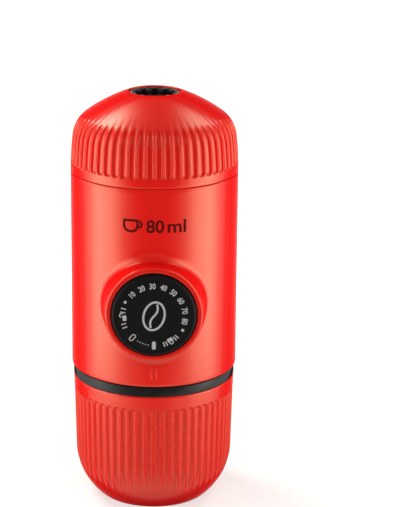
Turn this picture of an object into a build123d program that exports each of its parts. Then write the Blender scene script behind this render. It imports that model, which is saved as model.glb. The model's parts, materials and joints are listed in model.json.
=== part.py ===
"""Handheld manual espresso maker, built as the separate pieces that come apart on a bench.

Frame: millimetres, +Z up, origin at the centre of the cup's flat foot. The maker stands on its
upturned drinking cup, as it is stored: cup, water tank, main body, brewing head. The pump knob
faces -Y. The espresso leaves through the hole in the top when the maker is turned over.
"""

from build123d import *

import math
import os

# ---- driving dimensions -------------------------------------------------------------------
HEIGHT = 156.0  # foot of the cup to the rim of the outlet hole
BODY_R = 31.0  # outer radius of the main body
WALL = 2.0  # body shell wall
FIT = 0.1  # radial gap between pieces that stay together
RUN = 0.05  # radial gap of a running fit
SLIDE = 0.08  # radial gap of the knob in its bush

# heights of the parting planes
CUP_TOP = 47.9
COLLAR_TOP = 51.7
BODY_BOTTOM = 51.9
BODY_TOP = 126.5
COVER_BOTTOM = 126.7

# cup
CUP_TOP_R = 30.38
CUP_WALL = 1.6
CUP_BEND_Z = 18.5  # the straight wall ends and the rounded base begins
CUP_BEND_R = 29.7
CUP_FOOT_R = 20.7
CUP_FLOOR = 2.2
CUP_RIM_ROUND = 0.6

# flutes of the cup and the cover
FLUTE_COUNT = 60
FLUTE_R = 1.25  # radius of the round-nosed cutter
FLUTE_DEPTH = 0.8
CUP_FLUTE_TOP = 42.6
CUP_FLUTE_RUNOUT_R = 42.0  # the cutter leaves the rounded base along this arc
CUP_FLUTE_LEAVE = 22.0  # degrees of that arc
COVER_FLUTE_BOTTOM = 130.0
COVER_FLUTE_RUNOUT_R = 15.0  # the cutter leaves the shoulder along this arc
COVER_FLUTE_LEAVE = 42.0

# cover of the brewing head
COVER_WALL = 1.8
COVER_BEND_Z = 127.0  # above this height the wall leans in along a long arc
COVER_ARC_R = 107.0
COVER_LEAN = 7.0  # degrees from upright where the shoulder begins
SHOULDER_R = 11.2
SHOULDER_END = 53.8  # degrees from upright where the roof begins
OUTLET_R = 9.5
OUTLET_LIP = 0.5

# water tank
TANK_R = 26.6
TANK_WALL = 1.6
TANK_FLOOR_Z = 8.0
TANK_BEND_Z = 22.0
TANK_FOOT_R = 17.0
TANK_RIM = 60.4
COLLAR_R = 30.4
SPIGOT_R = 27.9
SPIGOT_BOTTOM = 40.8

# core inside the body shell
CORE_R = BODY_R - WALL - FIT
SOCKET_BOTTOM = 52.6
SOCKET_BORE_R = 27.5
DECK_BOTTOM = 61.4
DECK_TOP = 64.4
FLANGE_T = 2.0
HEAD_DECK_BOTTOM = 103.2
HEAD_DECK_TOP = 106.2
HEAD_RING_TOP = 126.0
HEAD_RING_BORE_R = 27.1
GROUP_R = 17.3  # raised boss that enters the filter basket
GROUP_TOP = 111.2

# pump, on an axis parallel to Y
PUMP_Z = 82.5
PUMP_BORE_R = 6.05
PUMP_TUBE_R = 8.0
PUMP_TUBE_FRONT = -30.0
PUMP_CHAMBER_END = 2.0
PLATE_FRONT = -11.0  # spring seat plate of the pump block
PLATE_BACK = -8.5
STROKE = 19.0
KNOB_FACE = -40.0
KNOB_R = 15.3
KNOB_FLAT_R = 13.2
KNOB_ROUND = 1.5  # rounding of the cap's front edge
KNOB_BACK = -36.5
SKIRT_R = 12.8
SKIRT_WALL = 1.4
SKIRT_END = -12.0
LUG_R = 14.0
LUG_LENGTH = 3.0
LUG_ANGLE = 16.0
UNLOCK_ANGLE = 44.0
LUG_COUNT = 3
RIM_Y = -38.9  # front face of the boss around the knob
BOSS_RIM_R = 17.2
BOSS_DRAFT = 5.0
BOSS_BLEND = 3.5
RECESS_R = 15.6
RECESS_Y = -36.3
BUSH_FRONT = -36.2
BUSH_STEP_Y = -30.0
BUSH_SMALL_R = 15.1
BUSH_R = 15.5
MARK_Z = 57.6  # pair of raised marks that show where the tank lines up
MARK_LENGTH = 4.5
MARK_WIDTH = 0.7
MARK_PITCH = 1.6

# check valves, on the Z axis
VALVE_CHAMBER_R = 3.3
INLET_CHAMBER_TOP = 70.4
OUTLET_SEAT_Z = 97.2
PASSAGE_R = 1.2
POPPET_R = 2.6
POPPET_T = 1.4
AIR_VALVE_Y = -13.0

# screws
POST_X = 21.6
POST_Y = 7.5
POST_R = 4.2
SOCKET_SCREW_X = 20.0
HEAD_SCREW_X = 23.2
SCREW_R = 1.25
SCREW_HEAD_R = 2.3
SCREW_HEAD_H = 1.6
SCREW_LENGTH = 12.0

# filter basket and portafilter
BASKET_R = 19.2
BASKET_WALL = 0.8
BASKET_FLANGE_R = 21.6
BASKET_FLANGE_BOTTOM = 108.2
BASKET_FLANGE_T = 1.2
BASKET_TOP = 132.2
SLEEVE_R = 19.8
SLEEVE_WALL = 1.8
SKIRT_OUTER_R = 26.2
SKIRT_T = 1.8
FILTER_BOTTOM = BASKET_FLANGE_BOTTOM + BASKET_FLANGE_T
SPOUT_BORE_R = 3.0
SPOUT_TOP = 151.0
NOZZLE_R = 8.9
NOZZLE_TOP = 154.9
NOZZLE_FLOOR = 153.0
NOZZLE_WELL_R = 6.5
SCALLOP_COUNT = 10
SCALLOP_R = 1.35

os.makedirs("parts", exist_ok=True)
PUMP_AXIS = Axis((0, 0, PUMP_Z), (0, 1, 0))


def pump_plane(y):
    """Plane across the pump axis at y, seen from the front: local x is +X, local y is +Z."""
    return Plane(origin=(0, y, PUMP_Z), x_dir=(1, 0, 0), z_dir=(0, -1, 0))


def ring_sector(inner, outer, start, size):
    """Face of a ring sector, angles in degrees from local +X. Call it inside a BuildSketch."""
    with BuildLine() as outline:
        far = CenterArc((0, 0), outer, start, size)
        near = CenterArc((0, 0), inner, start, size)
        Line(far @ 0, near @ 0)
        Line(far @ 1, near @ 1)
    make_face(outline.line)


def turned(points):
    """Solid turned about Z from a closed outline of (radius, height) points."""
    with BuildPart() as blank:
        with BuildSketch(Plane.XZ):
            with BuildLine():
                Polyline(*points, close=True)
            make_face()
        revolve(axis=Axis.Z)
    return blank.part


def turned_on_pump(points):
    """Solid turned about the pump axis from a closed outline of (radius, y) points."""
    with BuildPart() as blank:
        with BuildSketch(Plane.XY.offset(PUMP_Z)):
            with BuildLine():
                Polyline(*points, close=True)
            make_face()
        revolve(axis=PUMP_AXIS)
    return blank.part


def finish(builder, name):
    """Labels the finished piece and writes its STEP file."""
    builder.part.label = name
    export_step(builder.part, f"parts/{name}.step")


# ---- cup ----------------------------------------------------------------------------------
with BuildPart() as cup_flute:
    # the cutter runs parallel to the tapered wall, then leaves the rounded base
    taper = math.atan2(CUP_TOP_R - CUP_BEND_R, CUP_TOP - CUP_BEND_Z)
    cup_offset = FLUTE_R - FLUTE_DEPTH
    low_x = CUP_BEND_R + cup_offset * math.cos(taper)
    low_z = CUP_BEND_Z - cup_offset * math.sin(taper)
    rise = CUP_FLUTE_TOP - FLUTE_R - low_z
    runout_centre = (
        low_x - CUP_FLUTE_RUNOUT_R * math.cos(taper),
        low_z + CUP_FLUTE_RUNOUT_R * math.sin(taper),
    )
    with BuildLine(Plane.XZ) as cup_flute_path:
        straight = Line((low_x + rise * math.tan(taper), low_z + rise), (low_x, low_z))
        CenterArc(runout_centre, CUP_FLUTE_RUNOUT_R, -math.degrees(taper), -CUP_FLUTE_LEAVE)
    with BuildSketch(Plane(cup_flute_path.line @ 0, z_dir=cup_flute_path.line % 0)):
        Circle(FLUTE_R)
    sweep(path=cup_flute_path.line)
    with Locations(straight @ 0):
        Sphere(FLUTE_R)

with BuildPart() as cup:
    with BuildSketch(Plane.XZ):
        with BuildLine():
            wall_line = Line((CUP_TOP_R, CUP_TOP), (CUP_BEND_R, CUP_BEND_Z))
            base_arc = TangentArc(wall_line @ 1, (CUP_FOOT_R, 0), tangent=wall_line % 1)
            Polyline(base_arc @ 1, (0, 0), (0, CUP_TOP), wall_line @ 0)
        make_face()
    revolve(axis=Axis.Z)
    fillet(cup.edges().group_by(Axis.Z)[0], 1.0)
    fillet(cup.edges().group_by(Axis.Z)[-1], CUP_RIM_ROUND)
    with PolarLocations(0, FLUTE_COUNT):
        add(cup_flute.part, mode=Mode.SUBTRACT)
    with BuildSketch(Plane.XZ):
        with BuildLine():
            inner_line = Line(
                (CUP_TOP_R - CUP_WALL, CUP_TOP), (CUP_BEND_R - CUP_WALL, CUP_BEND_Z)
            )
            inner_arc = TangentArc(
                inner_line @ 1, (CUP_FOOT_R - 2.0, CUP_FLOOR), tangent=inner_line % 1
            )
            Polyline(inner_arc @ 1, (0, CUP_FLOOR), (0, CUP_TOP), inner_line @ 0)
        make_face()
    revolve(axis=Axis.Z, mode=Mode.SUBTRACT)
finish(cup, "cup")

# ---- water tank ---------------------------------------------------------------------------
GRIP_Z = 43.2
GRIP_H = 2.4
GRIP_DEPTH = 0.7
with BuildPart() as water_tank:
    with BuildSketch(Plane.XZ):
        with BuildLine():
            side = Line((TANK_R, TANK_RIM), (TANK_R, TANK_BEND_Z))
            bend = TangentArc(side @ 1, (TANK_FOOT_R, TANK_FLOOR_Z), tangent=side % 1)
            Polyline(bend @ 1, (0, TANK_FLOOR_Z), (0, TANK_RIM), side @ 0)
        make_face()
    revolve(axis=Axis.Z)
    add(
        turned(
            [
                (0, SPIGOT_BOTTOM + 1.3),
                (TANK_R, SPIGOT_BOTTOM),
                (SPIGOT_R, SPIGOT_BOTTOM + 1.3),
                (SPIGOT_R, CUP_TOP),
                (COLLAR_R, CUP_TOP),
                (COLLAR_R, COLLAR_TOP),
                (0, COLLAR_TOP),
            ]
        )
    )
    fillet(
        water_tank.edges().filter_by(GeomType.CIRCLE).sort_by(lambda e: e.radius)[-2:], 0.35
    )
    with BuildSketch(Plane.XZ):
        with BuildLine():
            inner_side = Line((TANK_R - TANK_WALL, TANK_RIM), (TANK_R - TANK_WALL, TANK_BEND_Z))
            inner_bend = TangentArc(
                inner_side @ 1,
                (TANK_FOOT_R - 0.9, TANK_FLOOR_Z + TANK_WALL),
                tangent=inner_side % 1,
            )
            Polyline(
                inner_bend @ 1, (0, TANK_FLOOR_Z + TANK_WALL), (0, TANK_RIM), inner_side @ 0
            )
        make_face()
    revolve(axis=Axis.Z, mode=Mode.SUBTRACT)
    with Locations((0, 0, GRIP_Z + GRIP_H / 2)):
        Cylinder(SPIGOT_R + 1, GRIP_H, mode=Mode.SUBTRACT)
        Cylinder(SPIGOT_R - GRIP_DEPTH, GRIP_H)
        Cylinder(TANK_R - TANK_WALL, GRIP_H, mode=Mode.SUBTRACT)
finish(water_tank, "water_tank")

with BuildPart() as cup_grip_ring:
    add(
        turned(
            [
                (SPIGOT_R - GRIP_DEPTH, GRIP_Z),
                (SPIGOT_R + 0.1, GRIP_Z),
                (SPIGOT_R + 0.7, GRIP_Z + GRIP_H / 2),
                (SPIGOT_R + 0.1, GRIP_Z + GRIP_H),
                (SPIGOT_R - GRIP_DEPTH, GRIP_Z + GRIP_H),
            ]
        )
    )
finish(cup_grip_ring, "cup_grip_ring")

with BuildPart() as tank_seal:
    with Locations((0, 0, (TANK_RIM + DECK_BOTTOM) / 2)):
        Cylinder(TANK_R, DECK_BOTTOM - TANK_RIM)
        Cylinder(TANK_R - TANK_WALL, DECK_BOTTOM - TANK_RIM, mode=Mode.SUBTRACT)
finish(tank_seal, "tank_seal")

# ---- body shell ---------------------------------------------------------------------------
SHELL_LIP_R = 27.8
with BuildPart() as body_shell:
    with Locations((0, 0, (BODY_BOTTOM + BODY_TOP) / 2)):
        Cylinder(BODY_R, BODY_TOP - BODY_BOTTOM)
    with BuildSketch(pump_plane(RIM_Y)):
        Circle(BOSS_RIM_R)
    extrude(amount=-30, taper=-BOSS_DRAFT)
    root = body_shell.edges().filter_by(
        lambda e: e.geom_type not in (GeomType.CIRCLE, GeomType.LINE)
    )
    fillet(root, BOSS_BLEND)
    rim_edge = body_shell.faces().sort_by(Axis.Y)[0].edges()
    fillet(rim_edge, 0.9)
    with Locations((0, 0, (SOCKET_BOTTOM + BODY_TOP) / 2)):
        Cylinder(BODY_R - WALL, BODY_TOP - SOCKET_BOTTOM, mode=Mode.SUBTRACT)
    with Locations((0, 0, (BODY_BOTTOM + SOCKET_BOTTOM) / 2)):
        Cylinder(SHELL_LIP_R, SOCKET_BOTTOM - BODY_BOTTOM, mode=Mode.SUBTRACT)
    with BuildSketch(pump_plane(RIM_Y)):
        Circle(RECESS_R)
    extrude(amount=RIM_Y - RECESS_Y, mode=Mode.SUBTRACT)
    with BuildSketch(pump_plane(RECESS_Y)):
        Circle(BUSH_SMALL_R + FIT)
    extrude(amount=RECESS_Y - BUSH_STEP_Y, mode=Mode.SUBTRACT)
    with BuildSketch(pump_plane(BUSH_STEP_Y)):
        Circle(RECESS_R)
    extrude(amount=BUSH_STEP_Y - PLATE_FRONT, mode=Mode.SUBTRACT)
    outer_ends = body_shell.edges().filter_by(GeomType.CIRCLE).filter_by(
        lambda e: abs(e.radius - BODY_R) < 0.01
    )
    fillet(outer_ends, 0.4)
    with BuildSketch(Plane.XZ.offset(BODY_R - 0.6)):
        with Locations((0, MARK_Z)):
            with GridLocations(MARK_PITCH, 0, 2, 1):
                SlotOverall(MARK_LENGTH, MARK_WIDTH, rotation=90)
    extrude(amount=0.9)
finish(body_shell, "body_shell")

# ---- tank socket, with the thread's seat, the deck and the inlet --------------------------
SEAT_R = 3.2
with BuildPart() as tank_socket:
    add(
        turned(
            [
                (0, DECK_BOTTOM),
                (SOCKET_BORE_R, DECK_BOTTOM),
                (SOCKET_BORE_R, SOCKET_BOTTOM),
                (CORE_R, SOCKET_BOTTOM),
                (CORE_R, DECK_TOP),
                (0, DECK_TOP),
            ]
        )
    )
    with Locations((0, 0, DECK_BOTTOM)):
        Cylinder(SEAT_R, 10, mode=Mode.SUBTRACT)
    with Locations((0, AIR_VALVE_Y, DECK_BOTTOM)):
        Cylinder(1.05, 10, mode=Mode.SUBTRACT)
    with Locations(Plane.XY.offset(DECK_BOTTOM)):
        with GridLocations(2 * SOCKET_SCREW_X, 2 * POST_Y, 2, 2):
            Cylinder(SCREW_R + FIT, 10, mode=Mode.SUBTRACT)
            Cylinder(SCREW_HEAD_R + FIT, 2 * SCREW_HEAD_H, mode=Mode.SUBTRACT)
finish(tank_socket, "tank_socket")

# ---- pump block ---------------------------------------------------------------------------
COLUMN_R = 9.0
FLANGE_R = 26.0
PLATE_R = 17.2
CHAMBER_FLOOR_TO_TOP = HEAD_DECK_BOTTOM - DECK_TOP
O_RING_MAJOR = 4.65
O_RING_MINOR = 0.6
with BuildPart() as pump_block:
    mid_z = (DECK_TOP + HEAD_DECK_BOTTOM) / 2
    with Locations((0, 0, DECK_TOP + FLANGE_T / 2), (0, 0, HEAD_DECK_BOTTOM - FLANGE_T / 2)):
        Cylinder(FLANGE_R, FLANGE_T)
    with Locations((0, 0, mid_z)):
        Cylinder(COLUMN_R, CHAMBER_FLOOR_TO_TOP)
    with Locations((0, (COLUMN_R + FLANGE_R) / 2 - 1, mid_z)):
        Box(3, FLANGE_R - COLUMN_R, CHAMBER_FLOOR_TO_TOP)
    with Locations((0, (PLATE_FRONT + PLATE_BACK) / 2, mid_z)):
        Box(2 * COLUMN_R, PLATE_BACK - PLATE_FRONT, CHAMBER_FLOOR_TO_TOP)
    with Locations(Plane.XY.offset(mid_z)):
        with GridLocations(2 * POST_X, 2 * POST_Y, 2, 2):
            Cylinder(POST_R, CHAMBER_FLOOR_TO_TOP)
    with BuildSketch(pump_plane(PLATE_BACK)):
        Circle(PLATE_R)
    extrude(amount=PLATE_BACK - PLATE_FRONT)
    with BuildSketch(pump_plane(0)):
        Circle(PUMP_TUBE_R)
    extrude(amount=-PUMP_TUBE_FRONT)
    with BuildSketch(pump_plane(PUMP_CHAMBER_END)):
        Circle(PUMP_BORE_R)
    extrude(amount=PUMP_CHAMBER_END - PUMP_TUBE_FRONT, mode=Mode.SUBTRACT)
    with Locations((0, 0, mid_z)):
        Cylinder(PASSAGE_R, 2 * (mid_z - DECK_TOP) - 6, mode=Mode.SUBTRACT)
    with Locations((0, 0, DECK_TOP)):
        Cylinder(VALVE_CHAMBER_R, 2 * (INLET_CHAMBER_TOP - DECK_TOP), mode=Mode.SUBTRACT)
    with Locations((0, 0, HEAD_DECK_BOTTOM)):
        Cylinder(VALVE_CHAMBER_R, 2 * (HEAD_DECK_BOTTOM - OUTLET_SEAT_Z), mode=Mode.SUBTRACT)
    with Locations((0, 0, DECK_TOP), (0, 0, HEAD_DECK_BOTTOM)):
        add(
            turned(
                [
                    (O_RING_MAJOR - 0.8, -1.2),
                    (O_RING_MAJOR + 0.8, -1.2),
                    (O_RING_MAJOR + 0.8, 1.2),
                    (O_RING_MAJOR - 0.8, 1.2),
                ]
            ),
            mode=Mode.SUBTRACT,
        )
    with Locations((0, AIR_VALVE_Y, DECK_TOP)):
        Cylinder(2.4, 2 * FLANGE_T + 1, mode=Mode.SUBTRACT)
    with Locations(Plane.XY.offset(DECK_TOP)):
        with GridLocations(2 * SOCKET_SCREW_X, 2 * POST_Y, 2, 2):
            Cylinder(SCREW_R + RUN, 2 * SCREW_LENGTH, mode=Mode.SUBTRACT)
    with Locations(Plane.XY.offset(HEAD_DECK_BOTTOM)):
        with GridLocations(2 * HEAD_SCREW_X, 2 * POST_Y, 2, 2):
            Cylinder(SCREW_R + RUN, 2 * SCREW_LENGTH, mode=Mode.SUBTRACT)
finish(pump_block, "pump_block")

with BuildPart() as valve_o_rings:
    with Locations(
        (0, 0, DECK_TOP + O_RING_MINOR), (0, 0, HEAD_DECK_BOTTOM - O_RING_MINOR)
    ):
        Torus(O_RING_MAJOR, O_RING_MINOR)
finish(valve_o_rings, "valve_o_rings")

# ---- guide bush of the knob, with its three lug channels ----------------------------------
CHANNEL_R = LUG_R + 0.2
LIP_BACK = SKIRT_END - LUG_LENGTH - STROKE - 0.05
with BuildPart() as guide_bush:
    add(
        turned_on_pump(
            [
                (SKIRT_R + SLIDE, BUSH_FRONT),
                (BUSH_SMALL_R, BUSH_FRONT),
                (BUSH_SMALL_R, BUSH_STEP_Y),
                (BUSH_R, BUSH_STEP_Y),
                (BUSH_R, PLATE_FRONT),
                (SKIRT_R + SLIDE, PLATE_FRONT),
            ]
        )
    )
    with BuildSketch(pump_plane(PLATE_FRONT)):
        for index in range(LUG_COUNT):
            start = 90 + index * 360 / LUG_COUNT - LUG_ANGLE / 2 - 1
            ring_sector(SKIRT_R - 0.5, CHANNEL_R, start, LUG_ANGLE + UNLOCK_ANGLE + 2)
    extrude(amount=PLATE_FRONT - LIP_BACK, mode=Mode.SUBTRACT)
finish(guide_bush, "guide_bush")

# ---- knob, piston and return spring -------------------------------------------------------
DISC_T = 0.8
DISC_Y = KNOB_FACE + DISC_T
HUB_R = 5.2
HUB_END = -32.0
ROD_R = 3.5
KNOB_SCREW_HEAD_H = 1.4
with BuildPart() as knob_cap:
    add(
        turned_on_pump(
            [
                (0, DISC_Y),
                (KNOB_FLAT_R, DISC_Y),
                (KNOB_FLAT_R, KNOB_FACE),
                (KNOB_R, KNOB_FACE),
                (KNOB_R, KNOB_BACK),
                (SKIRT_R, KNOB_BACK),
                (SKIRT_R, SKIRT_END),
                (SKIRT_R - SKIRT_WALL, SKIRT_END),
                (SKIRT_R - SKIRT_WALL, KNOB_BACK),
                (HUB_R, KNOB_BACK),
                (HUB_R, HUB_END),
                (ROD_R + RUN, HUB_END),
                (ROD_R + RUN, KNOB_BACK),
                (0, KNOB_BACK),
            ]
        )
    )
    front_edges = knob_cap.edges().group_by(Axis.Y)[0]
    fillet(front_edges.filter_by(lambda e: abs(e.radius - KNOB_R) < 0.01), KNOB_ROUND)
    with BuildSketch(pump_plane(SKIRT_END)):
        for index in range(LUG_COUNT):
            start = 90 + index * 360 / LUG_COUNT - LUG_ANGLE / 2
            ring_sector(SKIRT_R - 0.7, LUG_R, start, LUG_ANGLE)
    extrude(amount=LUG_LENGTH)
    with BuildSketch(pump_plane(KNOB_BACK)):
        Circle(SCREW_R + FIT)
    extrude(amount=KNOB_BACK - DISC_Y, mode=Mode.SUBTRACT)
    with BuildSketch(pump_plane(DISC_Y)):
        Circle(SCREW_HEAD_R + FIT)
    extrude(amount=-KNOB_SCREW_HEAD_H - FIT, mode=Mode.SUBTRACT)
finish(knob_cap, "knob_cap")

with BuildPart() as knob_disc:
    with BuildSketch(pump_plane(DISC_Y)):
        Circle(KNOB_FLAT_R - RUN)
    extrude(amount=DISC_T)
finish(knob_disc, "knob_disc")

with BuildPart() as knob_screw:
    with BuildSketch(pump_plane(DISC_Y + KNOB_SCREW_HEAD_H + FIT)):
        Circle(SCREW_HEAD_R)
    extrude(amount=KNOB_SCREW_HEAD_H)
    with BuildSketch(pump_plane(DISC_Y + KNOB_SCREW_HEAD_H + FIT)):
        Circle(SCREW_R)
    extrude(amount=-9)
finish(knob_screw, "knob_screw")

PISTON_FACE = -1.5
PISTON_BACK = -7.5
PISTON_R = 5.75
SEAL_Y = -4.5
SEAL_MINOR = 0.9
with BuildPart() as piston_rod:
    add(
        turned_on_pump(
            [
                (0, KNOB_BACK),
                (ROD_R, KNOB_BACK),
                (ROD_R, PISTON_BACK - 2),
                (PISTON_R, PISTON_BACK),
                (PISTON_R, SEAL_Y - 1.1),
                (PISTON_R - 1.7, SEAL_Y - 1.1),
                (PISTON_R - 1.7, SEAL_Y + 1.1),
                (PISTON_R, SEAL_Y + 1.1),
                (PISTON_R, PISTON_FACE - 0.5),
                (PISTON_R - 0.5, PISTON_FACE),
                (0, PISTON_FACE),
            ]
        )
    )
    with BuildSketch(pump_plane(KNOB_BACK + 10)):
        Circle(SCREW_R + RUN)
    extrude(amount=10, mode=Mode.SUBTRACT)
finish(piston_rod, "piston_rod")

with BuildPart() as piston_seal:
    with Locations(Location((0, SEAL_Y, PUMP_Z), (90, 0, 0))):
        Torus(PUMP_BORE_R - RUN - SEAL_MINOR, SEAL_MINOR)
finish(piston_seal, "piston_seal")

WASHER_T = 0.8
with BuildPart() as thrust_washer:
    with BuildSketch(pump_plane(KNOB_BACK + WASHER_T)):
        Circle(SKIRT_R - SKIRT_WALL - 0.2)
        Circle(HUB_R + 0.3, mode=Mode.SUBTRACT)
    extrude(amount=WASHER_T)
finish(thrust_washer, "thrust_washer")

SPRING_R = 9.6
SPRING_WIRE_R = 0.55
SPRING_TURNS = 6.5
WIRE_SIDES = 8  # the wire's round section is cut to an octagon
SPRING_LENGTH = PLATE_FRONT - (KNOB_BACK + WASHER_T)
with BuildPart() as return_spring:
    coil_rise = SPRING_LENGTH - 2 * SPRING_WIRE_R - 0.1
    with BuildLine(pump_plane(PLATE_FRONT - SPRING_WIRE_R - 0.05)) as spring_line:
        Helix(coil_rise / SPRING_TURNS, coil_rise, SPRING_R, direction=(0, -1, 0))
    with BuildSketch(Plane(spring_line.line @ 0, z_dir=spring_line.line % 0)):
        RegularPolygon(SPRING_WIRE_R, WIRE_SIDES)
    sweep(path=spring_line.line)
finish(return_spring, "return_spring")

# ---- check valves -------------------------------------------------------------------------
with BuildPart() as inlet_seat:
    add(
        turned(
            [
                (1.5, DECK_BOTTOM),
                (SEAT_R - RUN, DECK_BOTTOM),
                (SEAT_R - RUN, DECK_TOP),
                (1.5, DECK_TOP),
            ]
        )
    )
finish(inlet_seat, "inlet_seat")


def poppet_outline(seat_z):
    """Outline of a poppet that stands on its seat, with a guide stem for its spring."""
    return [
        (0, seat_z),
        (POPPET_R, seat_z),
        (POPPET_R, seat_z + POPPET_T),
        (1.2, seat_z + POPPET_T),
        (1.2, seat_z + POPPET_T + 1.8),
        (0, seat_z + POPPET_T + 1.8),
    ]


VALVE_SPRING_R = 2.0
VALVE_WIRE_R = 0.2


def valve_spring(bottom, top):
    """Small coil spring between two heights on the Z axis."""
    with BuildPart() as spring:
        rise = top - bottom - 2 * VALVE_WIRE_R - 0.1
        with BuildLine(Plane.XY.offset(bottom + VALVE_WIRE_R + 0.05)) as coil:
            Helix(rise / 3.5, rise, VALVE_SPRING_R)
        with BuildSketch(Plane(coil.line @ 0, z_dir=coil.line % 0)):
            RegularPolygon(VALVE_WIRE_R, WIRE_SIDES)
        sweep(path=coil.line)
    return spring.part


with BuildPart() as inlet_poppet:
    add(turned(poppet_outline(DECK_TOP)))
finish(inlet_poppet, "inlet_poppet")

with BuildPart() as inlet_spring:
    add(valve_spring(DECK_TOP + POPPET_T, INLET_CHAMBER_TOP))
finish(inlet_spring, "inlet_spring")

with BuildPart() as outlet_poppet:
    add(turned(poppet_outline(OUTLET_SEAT_Z)))
finish(outlet_poppet, "outlet_poppet")

with BuildPart() as outlet_spring:
    add(valve_spring(OUTLET_SEAT_Z + POPPET_T, HEAD_DECK_BOTTOM))
finish(outlet_spring, "outlet_spring")


def perforate(rings, spacing, hole_r, depth):
    """Cuts rings of holes round the middle, six more in each ring."""
    Cylinder(hole_r, depth, mode=Mode.SUBTRACT)
    for ring in range(1, rings + 1):
        with PolarLocations(ring * spacing, 6 * ring):
            Cylinder(hole_r, depth, mode=Mode.SUBTRACT)


STRAINER_R = 7.0
STRAINER_DROP = 1.8
with BuildPart() as inlet_strainer:
    with Locations((0, 0, DECK_BOTTOM - STRAINER_DROP / 2)):
        Cylinder(STRAINER_R, STRAINER_DROP)
    with Locations((0, 0, DECK_BOTTOM - STRAINER_DROP / 2 + 0.25)):
        Cylinder(STRAINER_R - 0.8, STRAINER_DROP - 0.5, mode=Mode.SUBTRACT)
    with Locations((0, 0, DECK_BOTTOM - STRAINER_DROP)):
        perforate(3, 1.8, 0.45, 2)
finish(inlet_strainer, "inlet_strainer")

with BuildPart() as air_valve:
    add(
        turned(
            [
                (0, DECK_BOTTOM - 0.9),
                (1.4, DECK_BOTTOM - 0.9),
                (3.2, DECK_BOTTOM - 0.4),
                (3.2, DECK_BOTTOM),
                (1.0, DECK_BOTTOM),
                (1.0, DECK_TOP),
                (1.5, DECK_TOP),
                (1.0, DECK_TOP + 1.2),
                (0, DECK_TOP + 1.2),
            ]
        ).translate((0, AIR_VALVE_Y, 0))
    )
finish(air_valve, "air_valve")


def screws(x, y, seat_z, point):
    """Four pan-head screws on a rectangle. point is +1 for screws that point up."""
    with BuildPart() as four:
        with Locations(Plane.XY.offset(seat_z)):
            with GridLocations(2 * x, 2 * y, 2, 2):
                Cylinder(
                    SCREW_HEAD_R,
                    SCREW_HEAD_H,
                    align=(Align.CENTER, Align.CENTER, Align.MAX if point > 0 else Align.MIN),
                )
                Cylinder(
                    SCREW_R,
                    SCREW_LENGTH,
                    align=(Align.CENTER, Align.CENTER, Align.MIN if point > 0 else Align.MAX),
                )
    return four.part


with BuildPart() as socket_screws:
    add(screws(SOCKET_SCREW_X, POST_Y, DECK_BOTTOM + SCREW_HEAD_H, 1))
finish(socket_screws, "socket_screws")

with BuildPart() as head_screws:
    add(screws(HEAD_SCREW_X, POST_Y, HEAD_DECK_TOP - SCREW_HEAD_H, -1))
finish(head_screws, "head_screws")

# ---- brewing head in the top of the body ---------------------------------------------------
SCREEN_T = 0.6
SCREEN_R = 16.9
SCREEN_SCREW_R = 14.6
with BuildPart() as brew_head:
    add(
        turned(
            [
                (1.6, HEAD_DECK_BOTTOM),
                (CORE_R, HEAD_DECK_BOTTOM),
                (CORE_R, HEAD_RING_TOP),
                (HEAD_RING_BORE_R, HEAD_RING_TOP),
                (HEAD_RING_BORE_R, HEAD_DECK_TOP),
                (GROUP_R, HEAD_DECK_TOP),
                (GROUP_R, GROUP_TOP),
                (SCREEN_R + FIT, GROUP_TOP),
                (SCREEN_R + FIT, GROUP_TOP - SCREEN_T),
                (12.6, GROUP_TOP - SCREEN_T),
                (12.6, GROUP_TOP - 1.6),
                (1.6, GROUP_TOP - 1.6),
            ]
        )
    )
    with Locations(Plane.XY.offset(HEAD_DECK_TOP)):
        with GridLocations(2 * HEAD_SCREW_X, 2 * POST_Y, 2, 2):
            Cylinder(SCREW_R + FIT, 10, mode=Mode.SUBTRACT)
            Cylinder(SCREW_HEAD_R + FIT, 2 * SCREW_HEAD_H, mode=Mode.SUBTRACT)
    with Locations(Plane.XY.offset(GROUP_TOP)):
        with PolarLocations(SCREEN_SCREW_R, 3, start_angle=90):
            Cylinder(0.8 + RUN, 10, mode=Mode.SUBTRACT)
finish(brew_head, "brew_head")

with BuildPart() as shower_screen:
    with Locations((0, 0, GROUP_TOP - SCREEN_T / 2)):
        Cylinder(SCREEN_R, SCREEN_T)
    with Locations((0, 0, GROUP_TOP)):
        perforate(4, 2.7, 0.55, 4)
    with Locations(Plane.XY.offset(GROUP_TOP)):
        with PolarLocations(SCREEN_SCREW_R, 3, start_angle=90):
            Cylinder(0.8 + RUN, 4, mode=Mode.SUBTRACT)
finish(shower_screen, "shower_screen")

with BuildPart() as screen_screws:
    with Locations(Plane.XY.offset(GROUP_TOP)):
        with PolarLocations(SCREEN_SCREW_R, 3, start_angle=90):
            Cylinder(1.5, 0.6, align=(Align.CENTER, Align.CENTER, Align.MIN))
            Cylinder(0.8, 4.5, align=(Align.CENTER, Align.CENTER, Align.MAX))
finish(screen_screws, "screen_screws")

with BuildPart() as brew_gasket:
    add(
        turned(
            [
                (GROUP_R + FIT, HEAD_DECK_TOP),
                (BASKET_FLANGE_R + 0.2, HEAD_DECK_TOP),
                (BASKET_FLANGE_R + 0.2, BASKET_FLANGE_BOTTOM),
                (GROUP_R + FIT, BASKET_FLANGE_BOTTOM),
            ]
        )
    )
finish(brew_gasket, "brew_gasket")

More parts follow.
